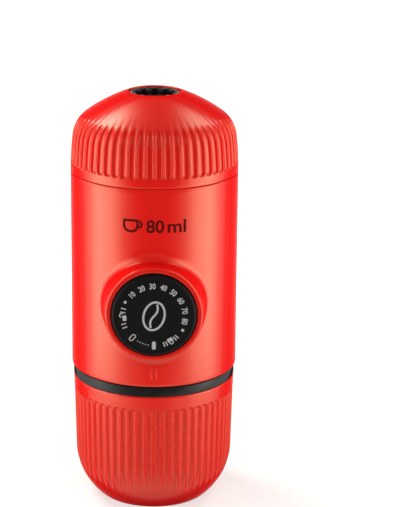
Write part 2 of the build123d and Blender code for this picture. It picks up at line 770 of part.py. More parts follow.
# ---- filter basket ------------------------------------------------------------------------
BASKET_INNER_R = BASKET_R - BASKET_WALL
BASKET_SCREEN_T = 0.5
with BuildPart() as filter_basket:
    add(
        turned(
            [
                (BASKET_INNER_R, BASKET_FLANGE_BOTTOM),
                (BASKET_FLANGE_R, BASKET_FLANGE_BOTTOM),
                (BASKET_FLANGE_R, FILTER_BOTTOM),
                (BASKET_R, FILTER_BOTTOM),
                (BASKET_R, BASKET_TOP - 0.5),
                (BASKET_R - 0.5, BASKET_TOP),
                (BASKET_INNER_R - 1.6, BASKET_TOP),
                (BASKET_INNER_R - 1.6, BASKET_TOP - BASKET_WALL),
                (BASKET_INNER_R, BASKET_TOP - BASKET_WALL),
            ]
        )
    )
finish(filter_basket, "filter_basket")

with BuildPart() as basket_screen:
    with Locations((0, 0, BASKET_TOP - BASKET_WALL - BASKET_SCREEN_T / 2)):
        Cylinder(BASKET_INNER_R - RUN, BASKET_SCREEN_T)
    with Locations((0, 0, BASKET_TOP - BASKET_WALL)):
        perforate(6, 2.4, 0.4, 4)
finish(basket_screen, "basket_screen")

# ---- portafilter, nozzle and cover --------------------------------------------------------
PORT_FLANGE_R = 28.8
PORT_FLANGE_T = 2.0
WEB_T = 3.0
FUNNEL_LOW = 133.2
FUNNEL_HIGH = 139.0
SPOUT_R = 5.5
with BuildPart() as portafilter:
    add(
        turned(
            [
                (SLEEVE_R, FILTER_BOTTOM),
                (SKIRT_OUTER_R, FILTER_BOTTOM),
                (SKIRT_OUTER_R, COVER_BOTTOM),
                (PORT_FLANGE_R, COVER_BOTTOM),
                (PORT_FLANGE_R, COVER_BOTTOM + PORT_FLANGE_T),
                (SKIRT_OUTER_R - SKIRT_T, COVER_BOTTOM + PORT_FLANGE_T),
                (SKIRT_OUTER_R - SKIRT_T, FILTER_BOTTOM + WEB_T),
                (SLEEVE_R + SLEEVE_WALL, FILTER_BOTTOM + WEB_T),
                (SLEEVE_R + SLEEVE_WALL, FUNNEL_LOW + 1.6),
                (SPOUT_R, FUNNEL_HIGH + 2.2),
                (SPOUT_R, SPOUT_TOP),
                (SPOUT_BORE_R, SPOUT_TOP),
                (SPOUT_BORE_R, FUNNEL_HIGH),
                (SLEEVE_R, FUNNEL_LOW),
            ]
        )
    )
    with Locations(Plane.XY.offset(FILTER_BOTTOM + WEB_T)):
        with PolarLocations((SLEEVE_R + SKIRT_OUTER_R) / 2, 8):
            Box(3.6, 1.5, 14.0, align=(Align.CENTER, Align.CENTER, Align.MIN))
finish(portafilter, "portafilter")

with BuildPart() as nozzle:
    add(
        turned(
            [
                (0.9, SPOUT_TOP - 8),
                (SPOUT_BORE_R - RUN, SPOUT_TOP - 8),
                (SPOUT_BORE_R - RUN, SPOUT_TOP - 5.2),
                (SPOUT_BORE_R - 0.8, SPOUT_TOP - 5.2),
                (SPOUT_BORE_R - 0.8, SPOUT_TOP - 4.2),
                (SPOUT_BORE_R - RUN, SPOUT_TOP - 4.2),
                (SPOUT_BORE_R - RUN, SPOUT_TOP),
                (NOZZLE_R - 0.6, SPOUT_TOP),
                (NOZZLE_R, SPOUT_TOP + 0.6),
                (NOZZLE_R, NOZZLE_TOP - 0.5),
                (NOZZLE_R - 0.5, NOZZLE_TOP),
                (NOZZLE_WELL_R, NOZZLE_TOP),
                (NOZZLE_WELL_R, NOZZLE_FLOOR),
                (3.2, NOZZLE_FLOOR),
                (2.6, NOZZLE_TOP - 0.2),
                (1.5, NOZZLE_TOP - 0.2),
                (0.9, NOZZLE_TOP - 1.4),
            ]
        )
    )
    with Locations(Plane.XY.offset(NOZZLE_FLOOR)):
        with PolarLocations(NOZZLE_WELL_R + 0.3, SCALLOP_COUNT):
            Cylinder(
                SCALLOP_R,
                5,
                align=(Align.CENTER, Align.CENTER, Align.MIN),
                mode=Mode.SUBTRACT,
            )
finish(nozzle, "nozzle")

with BuildPart() as nozzle_seal:
    with Locations((0, 0, SPOUT_TOP - 4.7)):
        Torus(SPOUT_BORE_R - 0.4, 0.38)
finish(nozzle_seal, "nozzle_seal")

with BuildPart() as head_seal:
    with Locations((0, 0, (HEAD_RING_TOP + COVER_BOTTOM) / 2)):
        Cylinder(CORE_R - 0.4, COVER_BOTTOM - HEAD_RING_TOP)
        Cylinder(SKIRT_OUTER_R + FIT, COVER_BOTTOM - HEAD_RING_TOP, mode=Mode.SUBTRACT)
finish(head_seal, "head_seal")


WALL_CENTRE = (BODY_R - COVER_ARC_R, COVER_BEND_Z)
SHOULDER_CENTRE = (
    WALL_CENTRE[0] + (COVER_ARC_R - SHOULDER_R) * math.cos(math.radians(COVER_LEAN)),
    WALL_CENTRE[1] + (COVER_ARC_R - SHOULDER_R) * math.sin(math.radians(COVER_LEAN)),
)


def cover_outline(inset, rim_r, rim_z):
    """Closed outline of the cover's outer or inner form, inset from the outer surface."""
    with BuildLine() as outline:
        upright = Line((BODY_R - inset, COVER_BOTTOM), (BODY_R - inset, COVER_BEND_Z))
        CenterArc(WALL_CENTRE, COVER_ARC_R - inset, 0, COVER_LEAN)
        shoulder = CenterArc(
            SHOULDER_CENTRE, SHOULDER_R - inset, COVER_LEAN, SHOULDER_END - COVER_LEAN
        )
        roof = TangentArc(shoulder @ 1, (rim_r, rim_z), tangent=shoulder % 1)
        Polyline(roof @ 1, (0, rim_z), (0, COVER_BOTTOM), upright @ 0)
    make_face(outline.line)


with BuildPart() as cover_flute:
    cover_offset = FLUTE_R - FLUTE_DEPTH
    nose_z = COVER_FLUTE_BOTTOM + FLUTE_R
    nose_angle = math.degrees(
        math.asin((nose_z - COVER_BEND_Z) / (COVER_ARC_R + cover_offset))
    )
    lean = math.radians(COVER_LEAN)
    leave_centre = (
        SHOULDER_CENTRE[0] - (COVER_FLUTE_RUNOUT_R - SHOULDER_R - cover_offset) * math.cos(lean),
        SHOULDER_CENTRE[1] - (COVER_FLUTE_RUNOUT_R - SHOULDER_R - cover_offset) * math.sin(lean),
    )
    with BuildLine(Plane.XZ) as cover_flute_path:
        climb = CenterArc(
            WALL_CENTRE, COVER_ARC_R + cover_offset, nose_angle, COVER_LEAN - nose_angle
        )
        CenterArc(leave_centre, COVER_FLUTE_RUNOUT_R, COVER_LEAN, COVER_FLUTE_LEAVE)
    with BuildSketch(Plane(cover_flute_path.line @ 0, z_dir=cover_flute_path.line % 0)):
        Circle(FLUTE_R)
    sweep(path=cover_flute_path.line)
    with Locations(climb @ 0):
        Sphere(FLUTE_R)

with BuildPart() as head_cover:
    with BuildSketch(Plane.XZ):
        cover_outline(0, OUTLET_R + OUTLET_LIP, HEIGHT)
    revolve(axis=Axis.Z)
    with PolarLocations(0, FLUTE_COUNT):
        add(cover_flute.part, mode=Mode.SUBTRACT)
    shelf = COVER_BOTTOM + PORT_FLANGE_T
    with BuildSketch(Plane.XZ):
        cover_outline(COVER_WALL, OUTLET_R + OUTLET_LIP, HEIGHT - 1.9)
    revolve(axis=Axis.Z, mode=Mode.SUBTRACT)
    add(
        turned(
            [(27.0, shelf), (29.6, shelf), (29.6, shelf + 1.7), (28.2, shelf + 1.7)]
        )
    )
    add(
        turned(
            [
                (OUTLET_R, HEIGHT - 6),
                (OUTLET_R + 1.4, HEIGHT - 6),
                (OUTLET_R + 1.4, HEIGHT - 1.6),
                (OUTLET_R, HEIGHT - 1.6),
            ]
        )
    )
    with Locations((0, 0, HEIGHT)):
        Cylinder(OUTLET_R, 20, mode=Mode.SUBTRACT)
    rim_edges = head_cover.edges().group_by(Axis.Z)[-1]
    fillet(rim_edges.filter_by(lambda e: abs(e.radius - OUTLET_R) < 0.01), 0.4)
finish(head_cover, "head_cover")
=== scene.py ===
"""Looks of a handheld manual espresso maker, laid out as a Blender add-on.

Lengths are in metres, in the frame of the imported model: +Z runs up from the cup's foot along the
maker's axis, and the pump knob faces -Y.
"""

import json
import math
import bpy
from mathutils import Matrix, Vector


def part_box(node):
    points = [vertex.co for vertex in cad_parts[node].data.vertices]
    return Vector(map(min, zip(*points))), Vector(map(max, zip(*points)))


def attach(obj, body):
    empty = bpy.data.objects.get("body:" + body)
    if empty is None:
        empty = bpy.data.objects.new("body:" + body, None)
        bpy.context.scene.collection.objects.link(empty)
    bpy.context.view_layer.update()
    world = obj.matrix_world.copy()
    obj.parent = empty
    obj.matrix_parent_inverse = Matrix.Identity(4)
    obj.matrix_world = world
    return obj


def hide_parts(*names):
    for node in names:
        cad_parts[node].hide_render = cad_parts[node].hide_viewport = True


bl_info = {
    "name": "Handheld Espresso Maker",
    "version": (1, 0, 0),
    "blender": (4, 5, 0),
    "location": "View3D > Sidebar > Espresso Maker",
    "description": "Dresses a packed handheld espresso maker and lights it on a pale floor",
    "category": "Object",
}

import bmesh
import bpy
from bpy.props import FloatProperty, FloatVectorProperty, IntProperty, PointerProperty
from bpy.types import Operator, Panel, PropertyGroup
from mathutils import Matrix, Vector

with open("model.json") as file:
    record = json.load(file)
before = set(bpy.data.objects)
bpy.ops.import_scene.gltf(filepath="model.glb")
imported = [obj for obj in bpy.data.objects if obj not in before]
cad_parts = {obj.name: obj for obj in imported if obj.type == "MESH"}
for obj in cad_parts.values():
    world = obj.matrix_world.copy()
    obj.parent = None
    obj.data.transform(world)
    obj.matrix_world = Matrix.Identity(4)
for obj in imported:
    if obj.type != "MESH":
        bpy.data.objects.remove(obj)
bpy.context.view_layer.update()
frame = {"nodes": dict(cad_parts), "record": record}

MM = 0.001
MERGE = 1e-6

# ---- sizes read from the frame -------------------------------------------------------------------
SHELL_LOW, SHELL_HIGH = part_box("body_shell")
COVER_LOW, COVER_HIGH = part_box("head_cover")
KNOB_LOW, KNOB_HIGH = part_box("knob_cap")
CUP_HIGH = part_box("cup")[1]
TANK_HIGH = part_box("water_tank")[1]
NOZZLE_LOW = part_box("nozzle")[0]
BODY_R = SHELL_HIGH.x
KNOB_Z = (KNOB_LOW.z + KNOB_HIGH.z) / 2
KNOB_FACE = KNOB_LOW.y

# ---- housing -------------------------------------------------------------------------------------
SHELL_BORE_R = 29.0 * MM
SHELL_EDGE = 0.4 * MM
SHELL_LIFT = 0.25 * MM  # shadow gap over the tank's collar
SHELL_LIP_R = 27.8 * MM
SHELL_LIP = 0.6 * MM
BOSS_RIM_Y = -38.9 * MM
BOSS_RIM_R = 17.5 * MM
BOSS_DRAFT = math.radians(5)
BOSS_BLEND = 3.9 * MM
BOSS_RIM_ROUND = 0.8 * MM
BOSS_RIM_SHIFT = 0.04 * MM  # brings the rim's rounding onto the drafted flank
BLEND_PASSES = 40  # enough for the blend's ball to settle between the flank and the wall
RECESS_R = 15.6 * MM
RECESS_Y = -36.3 * MM
RECESS_ROUND = 0.3 * MM
BUSH_HOLE_R = 15.2 * MM
FIELD = 26.0 * MM  # half side of the square field of wall round the boss
FIELD_DIVISIONS = 32
FIELD_RINGS = 8
WALL_COLUMNS = 88
ROWS_BELOW = 4
ROWS_ABOVE = 11
MARK_Z = 57.6 * MM
MARK_LENGTH = 4.5 * MM
MARK_WIDTH = 0.7 * MM
MARK_PITCH = 1.6 * MM
MARK_RISE = 0.3 * MM
# a raised mark from its foot to its top: share of its width, share of its rise
MARK_LEVELS = ((1.0, -0.7), (0.97, 0.4), (0.8, 0.8), (0.5, 1.0))

# ---- cup -----------------------------------------------------------------------------------------
CUP_BEND_R = 29.7 * MM
CUP_BEND_Z = 18.5 * MM
CUP_FOOT_R = 20.7 * MM
CUP_FOOT_ROUND = 1.0 * MM
CUP_RIM_ROUND = 0.6 * MM
CUP_RIM_CHAMFER = 0.2 * MM
CUP_WALL = 1.6 * MM
CUP_FLOOR = 2.2 * MM
CUP_FLOOR_INSET = 2.0 * MM
CUP_NOSE_Z = 42.6 * MM
CUP_RUNOUT = 10.4 * MM  # length over which the flutes run out on the bend

# ---- head cover ----------------------------------------------------------------------------------
COVER_BEND_Z = 127.0 * MM
COVER_ARC_R = 107.0 * MM
COVER_LEAN = 7.0
COVER_EDGE = 0.3 * MM
SHOULDER_R = 11.2 * MM
SHOULDER_END = 53.8
COVER_WALL = 1.8 * MM
COVER_NOSE_Z = 130.0 * MM
COVER_RUNOUT = 9.0 * MM
OUTLET_R = 9.5 * MM
OUTLET_LIP = 0.5 * MM
OUTLET_ROUND = 0.4 * MM
COLLAR_R = OUTLET_R + 1.4 * MM  # collar that hangs inside the roof, round the outlet
COLLAR_TOP = 2.5 * MM
COLLAR_DEPTH = 6.0 * MM
SHELF_UP = 2.0 * MM  # inner shelf that clamps the portafilter
SHELF_HIGH = 1.7 * MM
SHELF_RS = (28.2 * MM, 27.0 * MM)
LINING_START = 3  # degrees of the wall's arc where its plain inside starts

# ---- flutes --------------------------------------------------------------------------------------
# columns of half a flute as shares of its width, from the crest to the middle of the groove
FLUTE_COLUMNS = (0.0, 0.045, 0.09, 0.125, 0.16, 0.2, 0.26, 0.36, 0.55, 1.0)
FLUTE_SQUARENESS = 5
FLUTE_NARROWING = 0.5  # share of its width that a flute has lost once it has lost its depth
FLUTE_NARROWEST = 0.2  # least share of its width that it keeps
FLUTE_FAR = 3.0  # half widths from a flute's middle beyond which the wall is plain
NOSE_AHEAD = 0.6 * MM  # fine rows run from here, on the plain side of the noses' centres,
NOSE_BEYOND = 1.5  # to this many half widths beyond them

# ---- spout ---------------------------------------------------------------------------------------
CROWN_R = 9.2 * MM
CROWN_DROP = 0.45 * MM
CROWN_EDGE = 0.25 * MM
CROWN_WALL = 1.0 * MM
CROWN_SEAT = 5.0 * MM
CROWN_CHAMFER = 0.6 * MM
STEM_R = 3.9 * MM
SPOUT_BORE_R = 0.9 * MM
WELL_R = 6.7 * MM
WELL_FLOOR = 3.0 * MM
WELL_TAPER = 0.3 * MM
SCALLOPS = 10
SCALLOP_COLUMNS = 24
TIP_FOOT_R = 3.2 * MM
TIP_R = 2.7 * MM
TIP_CHAMFER = 0.2 * MM
TIP_MOUTH_R = 1.6 * MM
TIP_MOUTH_CHAMFER = 0.3 * MM
TIP_DROP = 1.9 * MM

# ---- prints --------------------------------------------------------------------------------------
DISC_R = 13.15 * MM
DISC_THICK = 0.8 * MM
DISC_EDGE = 0.12 * MM
DISC_COLUMNS = 96
PRINT_RISE = 0.03 * MM
PRINT_DEPTH = 1.6 * PRINT_RISE  # the knob's marks reach from their face into the disc
PRINT_Z = 113.2 * MM
BODY_PRINT_FOOT = -0.03 * MM
BODY_PRINT_TOP = 0.04 * MM
CAPITAL = 0.729  # capital height of the built-in font
LETTER_WEIGHT = 0.02
# the knob's marks: a turn is in degrees from the right, seen from the front
DOT_TURNS = (153, -27)
DOT_RING, DOT_R = 11.5 * MM, 0.55 * MM
TRAIL_TURNS = (-121.6, -100.7)
TRAIL_DOT_R = 0.22 * MM
SLOT_RING = 11.0 * MM
SLOT_TURN = -90
SLOT_SIZE = (3.1 * MM, 1.4 * MM)
OPEN_SLOT_RING = 11.1 * MM
OPEN_SLOT_TURN = -133.7
OPEN_SLOT_SIZE = (2.6 * MM, 1.3 * MM)
FINE_LINE = 0.36 * MM
NUMBER_TURNS = (134, -10)
NUMBER_RING, NUMBER_HEIGHT, NUMBER_NARROW = 11.2 * MM, 2.1 * MM, 0.82
TICK_RINGS = (10.3 * MM, 12.1 * MM)
TICK_LINE = 0.42 * MM
TICK_MARGIN = 4.0
LOCKS = ((-176, 7.2, False), (-57, 5.0, True))  # turn, spread of the ticks, shut
LOCK_HALF, LOCK_LOW, LOCK_HIGH = 1.0, -1.15, 0.2  # padlock, in millimetres
BOW_R, BOW_Z, BOW_SHIFT = 0.62, 0.6, 1.1
BOW_FOOT, BOW_FREE_END = 0.1, 0.5
BEAN_WIDE, BEAN_TALL, BEAN_LEAN = 3.7 * MM, 5.3 * MM, math.radians(-14)
BEAN_LINE, SEAM_LINE = 0.75 * MM, 0.7 * MM
SEAM_SWAY, SEAM_REACH = 0.75 * MM, 0.86
# the cup pictogram, in millimetres
CUP_SIDE = ((-11.0, 1.9), (-11.0, -0.4), (-10.4, -1.6), (-9.3, -2.1))
CUP_MIDDLE = -8.5
CUP_LINE, HANDLE_LINE = 0.9 * MM, 0.75 * MM
CUP_STEP = 0.5 * MM  # longest straight side, so that the print follows the housing
HANDLE_CENTRE, HANDLE_R, HANDLE_GAP = (-5.7, 0.45), 1.15, 0.1
LETTER_HEIGHT = 4.8 * MM
WORDS = (("80", 0.35 * MM, 6.4 * MM), ("ml", 8.2 * MM, 6.8 * MM))  # text, middle, width

# ---- screw threads -------------------------------------------------------------------------------
NECK_R = 26.6 * MM  # threaded neck of the water tank
SOCKET_R = 27.5 * MM
NECK_LEAD = 6.0 * MM
NECK_SPAN = (TANK_HIGH.z - 8.0 * MM, TANK_HIGH.z - 1.2 * MM)
SKIRT_R = 26.2 * MM  # threaded skirt of the portafilter
HEAD_BORE_R = 27.1 * MM
SKIRT_LEAD = 12.0 * MM
SKIRT_SPAN = (COVER_LOW.z - 14.5 * MM, COVER_LOW.z - 2.5 * MM)
THREAD_FOOT, THREAD_TIP, THREAD_SUNK = 0.85 * MM, 0.35 * MM, 0.25 * MM
THREAD_DEPTH = 0.5 * MM
THREAD_STEPS = 96  # in one turn
THREAD_RUNOUT = 14  # the ridge reaches its height within one part in so many of a turn

# ---- stage ---------------------------------------------------------------------------------------
STRIP_TURN = 77.0
FILL_TURN = 56.0
STRIP_AWAY = 0.17
STRIP_SIZE = (0.055, 0.22)
REAR_TURN = 128.0
REAR_RISE = 44.0
REAR_SIZE = (0.3, 0.35)
REAR_AWAY = 0.7
REAR_TARGET = Vector((0, 0, 0.14))
FRONT_SIZE = (1.2, 0.5)
FRONT_PLACE = (0, -0.9, 0.6)
FRONT_TARGET = (0, 0, 0.078)
WARM = (1.0, 0.98, 0.9)
FLOOR_HALF = 3.0
PAPER_GLOW = 0.5
SHADOW_REACH = (0.12, 0.3)  # the floor's shadow fades out between these distances
CEILING = 0.15  # the white backdrop darkens to this overhead
CEILING_RISE = (0.1, 0.6)
SHIFT_X = 0.0953
SHIFT_Y = 0.001
ROLL = math.radians(0.2)


def lerp(a, b, t):
    return a + (b - a) * t


def steps(first, last, count):
    """Even steps from first to last, both included."""
    return [lerp(first, last, i / count) for i in range(count + 1)]


# ---- property groups -----------------------------------------------------------------------------
def length_property(name, description, value):
    return FloatProperty(name=name, description=description, default=value, unit="LENGTH")


def power_property(name, description, value):
    return FloatProperty(name=name, description=description, default=value, unit="POWER")


def colour_property(name, description, value):
    return FloatVectorProperty(
        name=name, description=description, default=value, subtype="COLOR", min=0, max=1
    )


class FluteSettings(PropertyGroup):
    """Grip flutes of the cup and the head cover."""

    count: IntProperty(name="Count", description="Flutes round the wall", default=60, min=12)
    width: length_property("Width", "Width of a flute", 2.75 * MM)
    depth: length_property("Depth", "Depth of a flute", 0.8 * MM)
    crest: length_property("Crest softness", "Rounding of the crests between flutes", 0.24 * MM)


class ColourSettings(PropertyGroup):
    """Linear colours of the finishes."""

    red: colour_property("Red", "Satin red of the cup, body and cover", (0.72, 0.0075, 0.006))
    mark: colour_property("Mark", "Dark red of the printed pictogram", (0.09, 0.005, 0.005))
    grey: colour_property("Grey", "Dark grey of the tank and its collar", (0.0085, 0.0088, 0.0085))
    black: colour_property("Black", "Black of the knob and the spout", (0.006, 0.006, 0.006))
    printed: colour_property("Print", "Pale grey of the knob's marks", (0.42, 0.42, 0.42))
    inner: colour_property("Inner", "Dark inner plastics", (0.05, 0.05, 0.053))
    white: colour_property("White", "Washer under the pump spring", (0.72, 0.72, 0.7))
    rubber: colour_property("Rubber", "Seals and gaskets", (0.03, 0.03, 0.03))
    steel: colour_property("Steel", "Screens, springs and screws", (0.62, 0.62, 0.61))
    floor: colour_property("Floor", "Studio floor", (0.5, 0.5, 0.5))


class StudioSettings(PropertyGroup):
    """Lamps and camera."""

    side_power: power_property("Side boxes", "Power of each side softbox", 0.14)
    fill_power: power_property("Fill boxes", "Power of each softbox between side and front", 0.1)
    rear_power: power_property("Rear boxes", "Power of the left rear softbox", 4.6)
    rear_share: FloatProperty(
        name="Right rear box", description="Power of the right rear softbox against the left one",
        default=0.45, min=0, max=1,
    )
    front_power: power_property("Front panel", "Power of the broad front panel", 5.0)
    sky: FloatProperty(name="Sky", description="Strength of the even light", default=0.02)
    lens: FloatProperty(name="Lens", description="Focal length in millimetres", default=128.7)
    distance: length_property("Distance", "Distance of the camera from the maker's axis", 0.651)
    height: length_property("Height", "Height of the camera", 0.288)
    pitch: FloatProperty(
        name="Pitch", description="Downward tilt of the camera", default=math.radians(16.62),
        subtype="ANGLE",
    )


class MakerSettings(PropertyGroup):
    """Everything a user would change."""

    flutes: PointerProperty(type=FluteSettings)
    colours: PointerProperty(type=ColourSettings)
    studio: PointerProperty(type=StudioSettings)


def settings():
    return bpy.context.scene.espresso_maker


# ---- nodes ---------------------------------------------------------------------------------------
def connect(tree, node, links):
    """Links outputs to the named inputs of a node."""
    for key, output in links.items():
        tree.links.new(output, node.inputs[key])


def add_node(tree, kind, links=None, values=None, **options):
    """Adds a node; links maps its inputs to outputs, values sets inputs directly."""
    made = tree.nodes.new(kind)
    for key, value in options.items():
        setattr(made, key, value)
    for key, value in (values or {}).items():
        made.inputs[key].default_value = value
    connect(tree, made, links or {})
    return made


# ---- materials -----------------------------------------------------------------------------------
# gloss level of a skin against how far it turns away: softest face on and at the very edge
SATIN_GLOSS = (
    (0.0, 0.1), (0.05, 0.15), (0.08, 0.36), (0.125, 0.68), (0.2, 0.84), (0.27, 0.84), (0.38, 0.6),
    (0.44, 0.38), (0.5, 0.05), (0.6, 0.005), (0.75, 0.004), (0.88, 0.012), (1.0, 0.015),
)
COLLAR_GLOSS = (
    (0.0, 0.03), (0.1, 0.075), (0.2, 0.21), (0.3, 0.31), (0.5, 0.22), (0.65, 0.09), (0.8, 0.0),
)
DULL_GLOSS = ((0.0, 0.035), (0.3, 0.09), (0.6, 0.04))
SPOUT_GLOSS = ((0.0, 0.4), (0.5, 0.35), (0.75, 0.08), (1.0, 0.02))
SATIN_TINT = (1.0, 0.97, 0.66)
SKIN_DETAIL = 3
SKIN_STRENGTH = 0.6
CLOUD_SCALE = 90
CLOUD_DETAIL = 4
SHEEN_SPREAD = 0.1


def new_material(name):
    """A material with nodes, its tree and its shader."""
    material = bpy.data.materials.new(name)
    material.use_nodes = True
    return material, material.node_tree, material.node_tree.nodes["Principled BSDF"]


def add_gloss(tree, shader, gloss):
    """Sets the gloss level by how far the surface turns away."""
    glance = add_node(tree, "ShaderNodeLayerWeight")
    curve = add_node(tree, "ShaderNodeValToRGB", {"Fac": glance.outputs["Facing"]})
    marks = curve.color_ramp.elements
    for index, (turned_away, level) in enumerate(gloss):
        mark = marks[index] if index < 2 else marks.new(turned_away)
        mark.position = turned_away
        mark.color = (level, level, level, 1)
    shader.inputs["Specular IOR Level"].default_value = max(level for _, level in gloss)
    connect(tree, shader, {"Specular IOR Level": curve.outputs["Color"]})


def plastic(name, base, roughness, grain=0.02, grain_size=0.35 * MM, mottle=0.04, gloss=(), tint=None):
    """Moulded plastic: fine skin texture, faint mottling of the gloss and of the colour.

    grain is the height of the skin texture in millimetres, and gloss a curve of the gloss level
    against how far the surface turns away.
    """
    existing = bpy.data.materials.get(name)
    if existing:
        return existing
    material, tree, shader = new_material(name)
    if tint:
        shader.inputs["Specular Tint"].default_value = (*tint, 1)
    if gloss:
        add_gloss(tree, shader, gloss)
    place = add_node(tree, "ShaderNodeTexCoord").outputs["Object"]
    skin = add_node(
        tree, "ShaderNodeTexNoise", {"Vector": place}, {"Scale": 1 / grain_size, "Detail": SKIN_DETAIL}
    )
    bump = add_node(
        tree, "ShaderNodeBump", {"Height": skin.outputs["Fac"]},
        {"Strength": SKIN_STRENGTH, "Distance": grain * MM},
    )
    cloud = add_node(
        tree, "ShaderNodeTexNoise", {"Vector": place}, {"Scale": CLOUD_SCALE, "Detail": CLOUD_DETAIL}
    ).outputs["Fac"]
    sheen = add_node(
        tree, "ShaderNodeMapRange", {"Value": cloud},
        {"To Min": roughness * (1 - SHEEN_SPREAD), "To Max": roughness * (1 + SHEEN_SPREAD)},
    )
    dark = (*(c * (1 - mottle) for c in base), 1)
    pale = (*(min(1, c * (1 + mottle)) for c in base), 1)
    shade = add_node(
        tree, "ShaderNodeMix", {"Factor": cloud}, {"A": dark, "B": pale}, data_type="RGBA"
    )
    connect(
        tree, shader,
        {
            "Normal": bump.outputs["Normal"],
            "Roughness": sheen.outputs["Result"],
            "Base Color": shade.outputs["Result"],
        },
    )
    return material


def satin_red():
    red = settings().colours.red
    return plastic("satin_red", red, 0.34, grain=0.003, gloss=SATIN_GLOSS, tint=SATIN_TINT)


def collar_grey():
    return plastic("collar_grey", settings().colours.grey, 0.4, grain=0.006, gloss=COLLAR_GLOSS)


def knob_black():
    black = settings().colours.black
    return plastic("satin_black", black, 0.38, grain=0.008, grain_size=0.25 * MM, gloss=DULL_GLOSS)


def gloss_black():
    return plastic("spout_black", settings().colours.black, 0.12, grain=0.0005, gloss=SPOUT_GLOSS)


def inner_plastic():
    return plastic("glass_filled", settings().colours.inner, 0.5, grain=0.01)


def white_acetal():
    return plastic("white_acetal", settings().colours.white, 0.4)


def rubber():
    return plastic("seal_rubber", settings().colours.rubber, 0.62, grain=0.01, mottle=0.1)


def print_grey():
    return plastic("print_grey", settings().colours.printed, 0.5, grain=0.002)


def print_red():
    return plastic("print_red", settings().colours.mark, 0.45, grain=0.002, gloss=DULL_GLOSS)


STEEL_STRETCH = (200, 200, 9000)
STEEL_DETAIL = 4
STEEL_ROUGHNESS = (0.2, 0.38)
STEEL_GROOVE = 0.005 * MM
STEEL_STRENGTH = 0.3


def steel():
    """Stainless steel with fine turning lines round the maker's axis."""
    existing = bpy.data.materials.get("stainless_steel")
    if existing:
        return existing
    material, tree, shader = new_material("stainless_steel")
    shader.inputs["Base Color"].default_value = (*settings().colours.steel, 1)
    shader.inputs["Metallic"].default_value = 1.0
    place = add_node(tree, "ShaderNodeTexCoord")
    stretch = add_node(
        tree, "ShaderNodeMapping", {"Vector": place.outputs["Object"]}, {"Scale": STEEL_STRETCH}
    )
    lines = add_node(
        tree, "ShaderNodeTexNoise", {"Vector": stretch.outputs["Vector"]},
        {"Scale": 1, "Detail": STEEL_DETAIL},
    ).outputs["Fac"]
    sheen = add_node(
        tree, "ShaderNodeMapRange", {"Value": lines},
        {"To Min": STEEL_ROUGHNESS[0], "To Max": STEEL_ROUGHNESS[1]},
    )
    bump = add_node(
        tree, "ShaderNodeBump", {"Height": lines},
        {"Strength": STEEL_STRENGTH, "Distance": STEEL_GROOVE},
    )
    connect(
        tree, shader, {"Roughness": sheen.outputs["Result"], "Normal": bump.outputs["Normal"]}
    )
    return material


# finish of each material slot
FINISHES = {
    "red_plastic": satin_red,
    "dark_plastic": collar_grey,
    "knob_black": knob_black,
    "gloss_black": gloss_black,
    "inner_plastic": inner_plastic,
    "white_plastic": white_acetal,
    "seal": rubber,
    "steel": steel,
}


# ---- geometry node trees -------------------------------------------------------------------------
class Tree:
    """A geometry node group with named inputs, built link by link."""

    def __init__(self, name, **inputs):
        self.group = bpy.data.node_groups.new(name, "GeometryNodeTree")
        self.add_socket("Geometry", "Geometry")
        for label, kind in inputs.items():
            self.add_socket(label, kind)
        self.add_socket("Geometry", "Geometry", "OUTPUT")
        self.source = self.group.nodes.new("NodeGroupInput")
        self.sink = self.group.nodes.new("NodeGroupOutput")

    def add_socket(self, label, kind, in_out="INPUT"):
        self.group.interface.new_socket(label, in_out=in_out, socket_type=f"NodeSocket{kind}")

    def node(self, kind, links=None, values=None, **options):
        return add_node(self.group, kind, links, values, **options)

    def math(self, operation, *terms):
        """Result of a math node on outputs and numbers."""
        values = {i: term for i, term in enumerate(terms) if isinstance(term, (int, float))}
        links = {i: term for i, term in enumerate(terms) if i not in values}
        return self.node("ShaderNodeMath", links, values, operation=operation).outputs[0]

    def given(self, label):
        return self.source.outputs[label]

    def finish(self, output):
        self.group.links.new(output, self.sink.inputs["Geometry"])
        return self.group


def ring_tree():
    """Copies of the input mesh round the Z axis, joined into one skin."""
    existing = bpy.data.node_groups.get("Copies round the axis")
    if existing:
        return existing
    tree = Tree("Copies round the axis", Count="Int", Material="Material")
    spots = tree.node("GeometryNodePoints", {"Count": tree.given("Count")})
    index = tree.node("GeometryNodeInputIndex")
    step = tree.math("DIVIDE", math.tau, tree.given("Count"))
    angle = tree.math("MULTIPLY", index.outputs[0], step)
    euler = tree.node("ShaderNodeCombineXYZ", {"Z": angle})
    turn = tree.node("FunctionNodeEulerToRotation", {"Euler": euler.outputs[0]})
    copies = tree.node(
        "GeometryNodeInstanceOnPoints",
        {
            "Points": spots.outputs[0],
            "Instance": tree.given("Geometry"),
            "Rotation": turn.outputs[0],
        },
    )
    real = tree.node("GeometryNodeRealizeInstances", {"Geometry": copies.outputs[0]})
    skin = tree.node(
        "GeometryNodeMergeByDistance", {"Geometry": real.outputs[0]}, {"Distance": MERGE * 2}
    )
    smooth = tree.node("GeometryNodeSetShadeSmooth", {"Geometry": skin.outputs[0]})
    dressed = tree.node(
        "GeometryNodeSetMaterial",
        {"Geometry": smooth.outputs[0], "Material": tree.given("Material")},
    )
    return tree.finish(dressed.outputs[0])


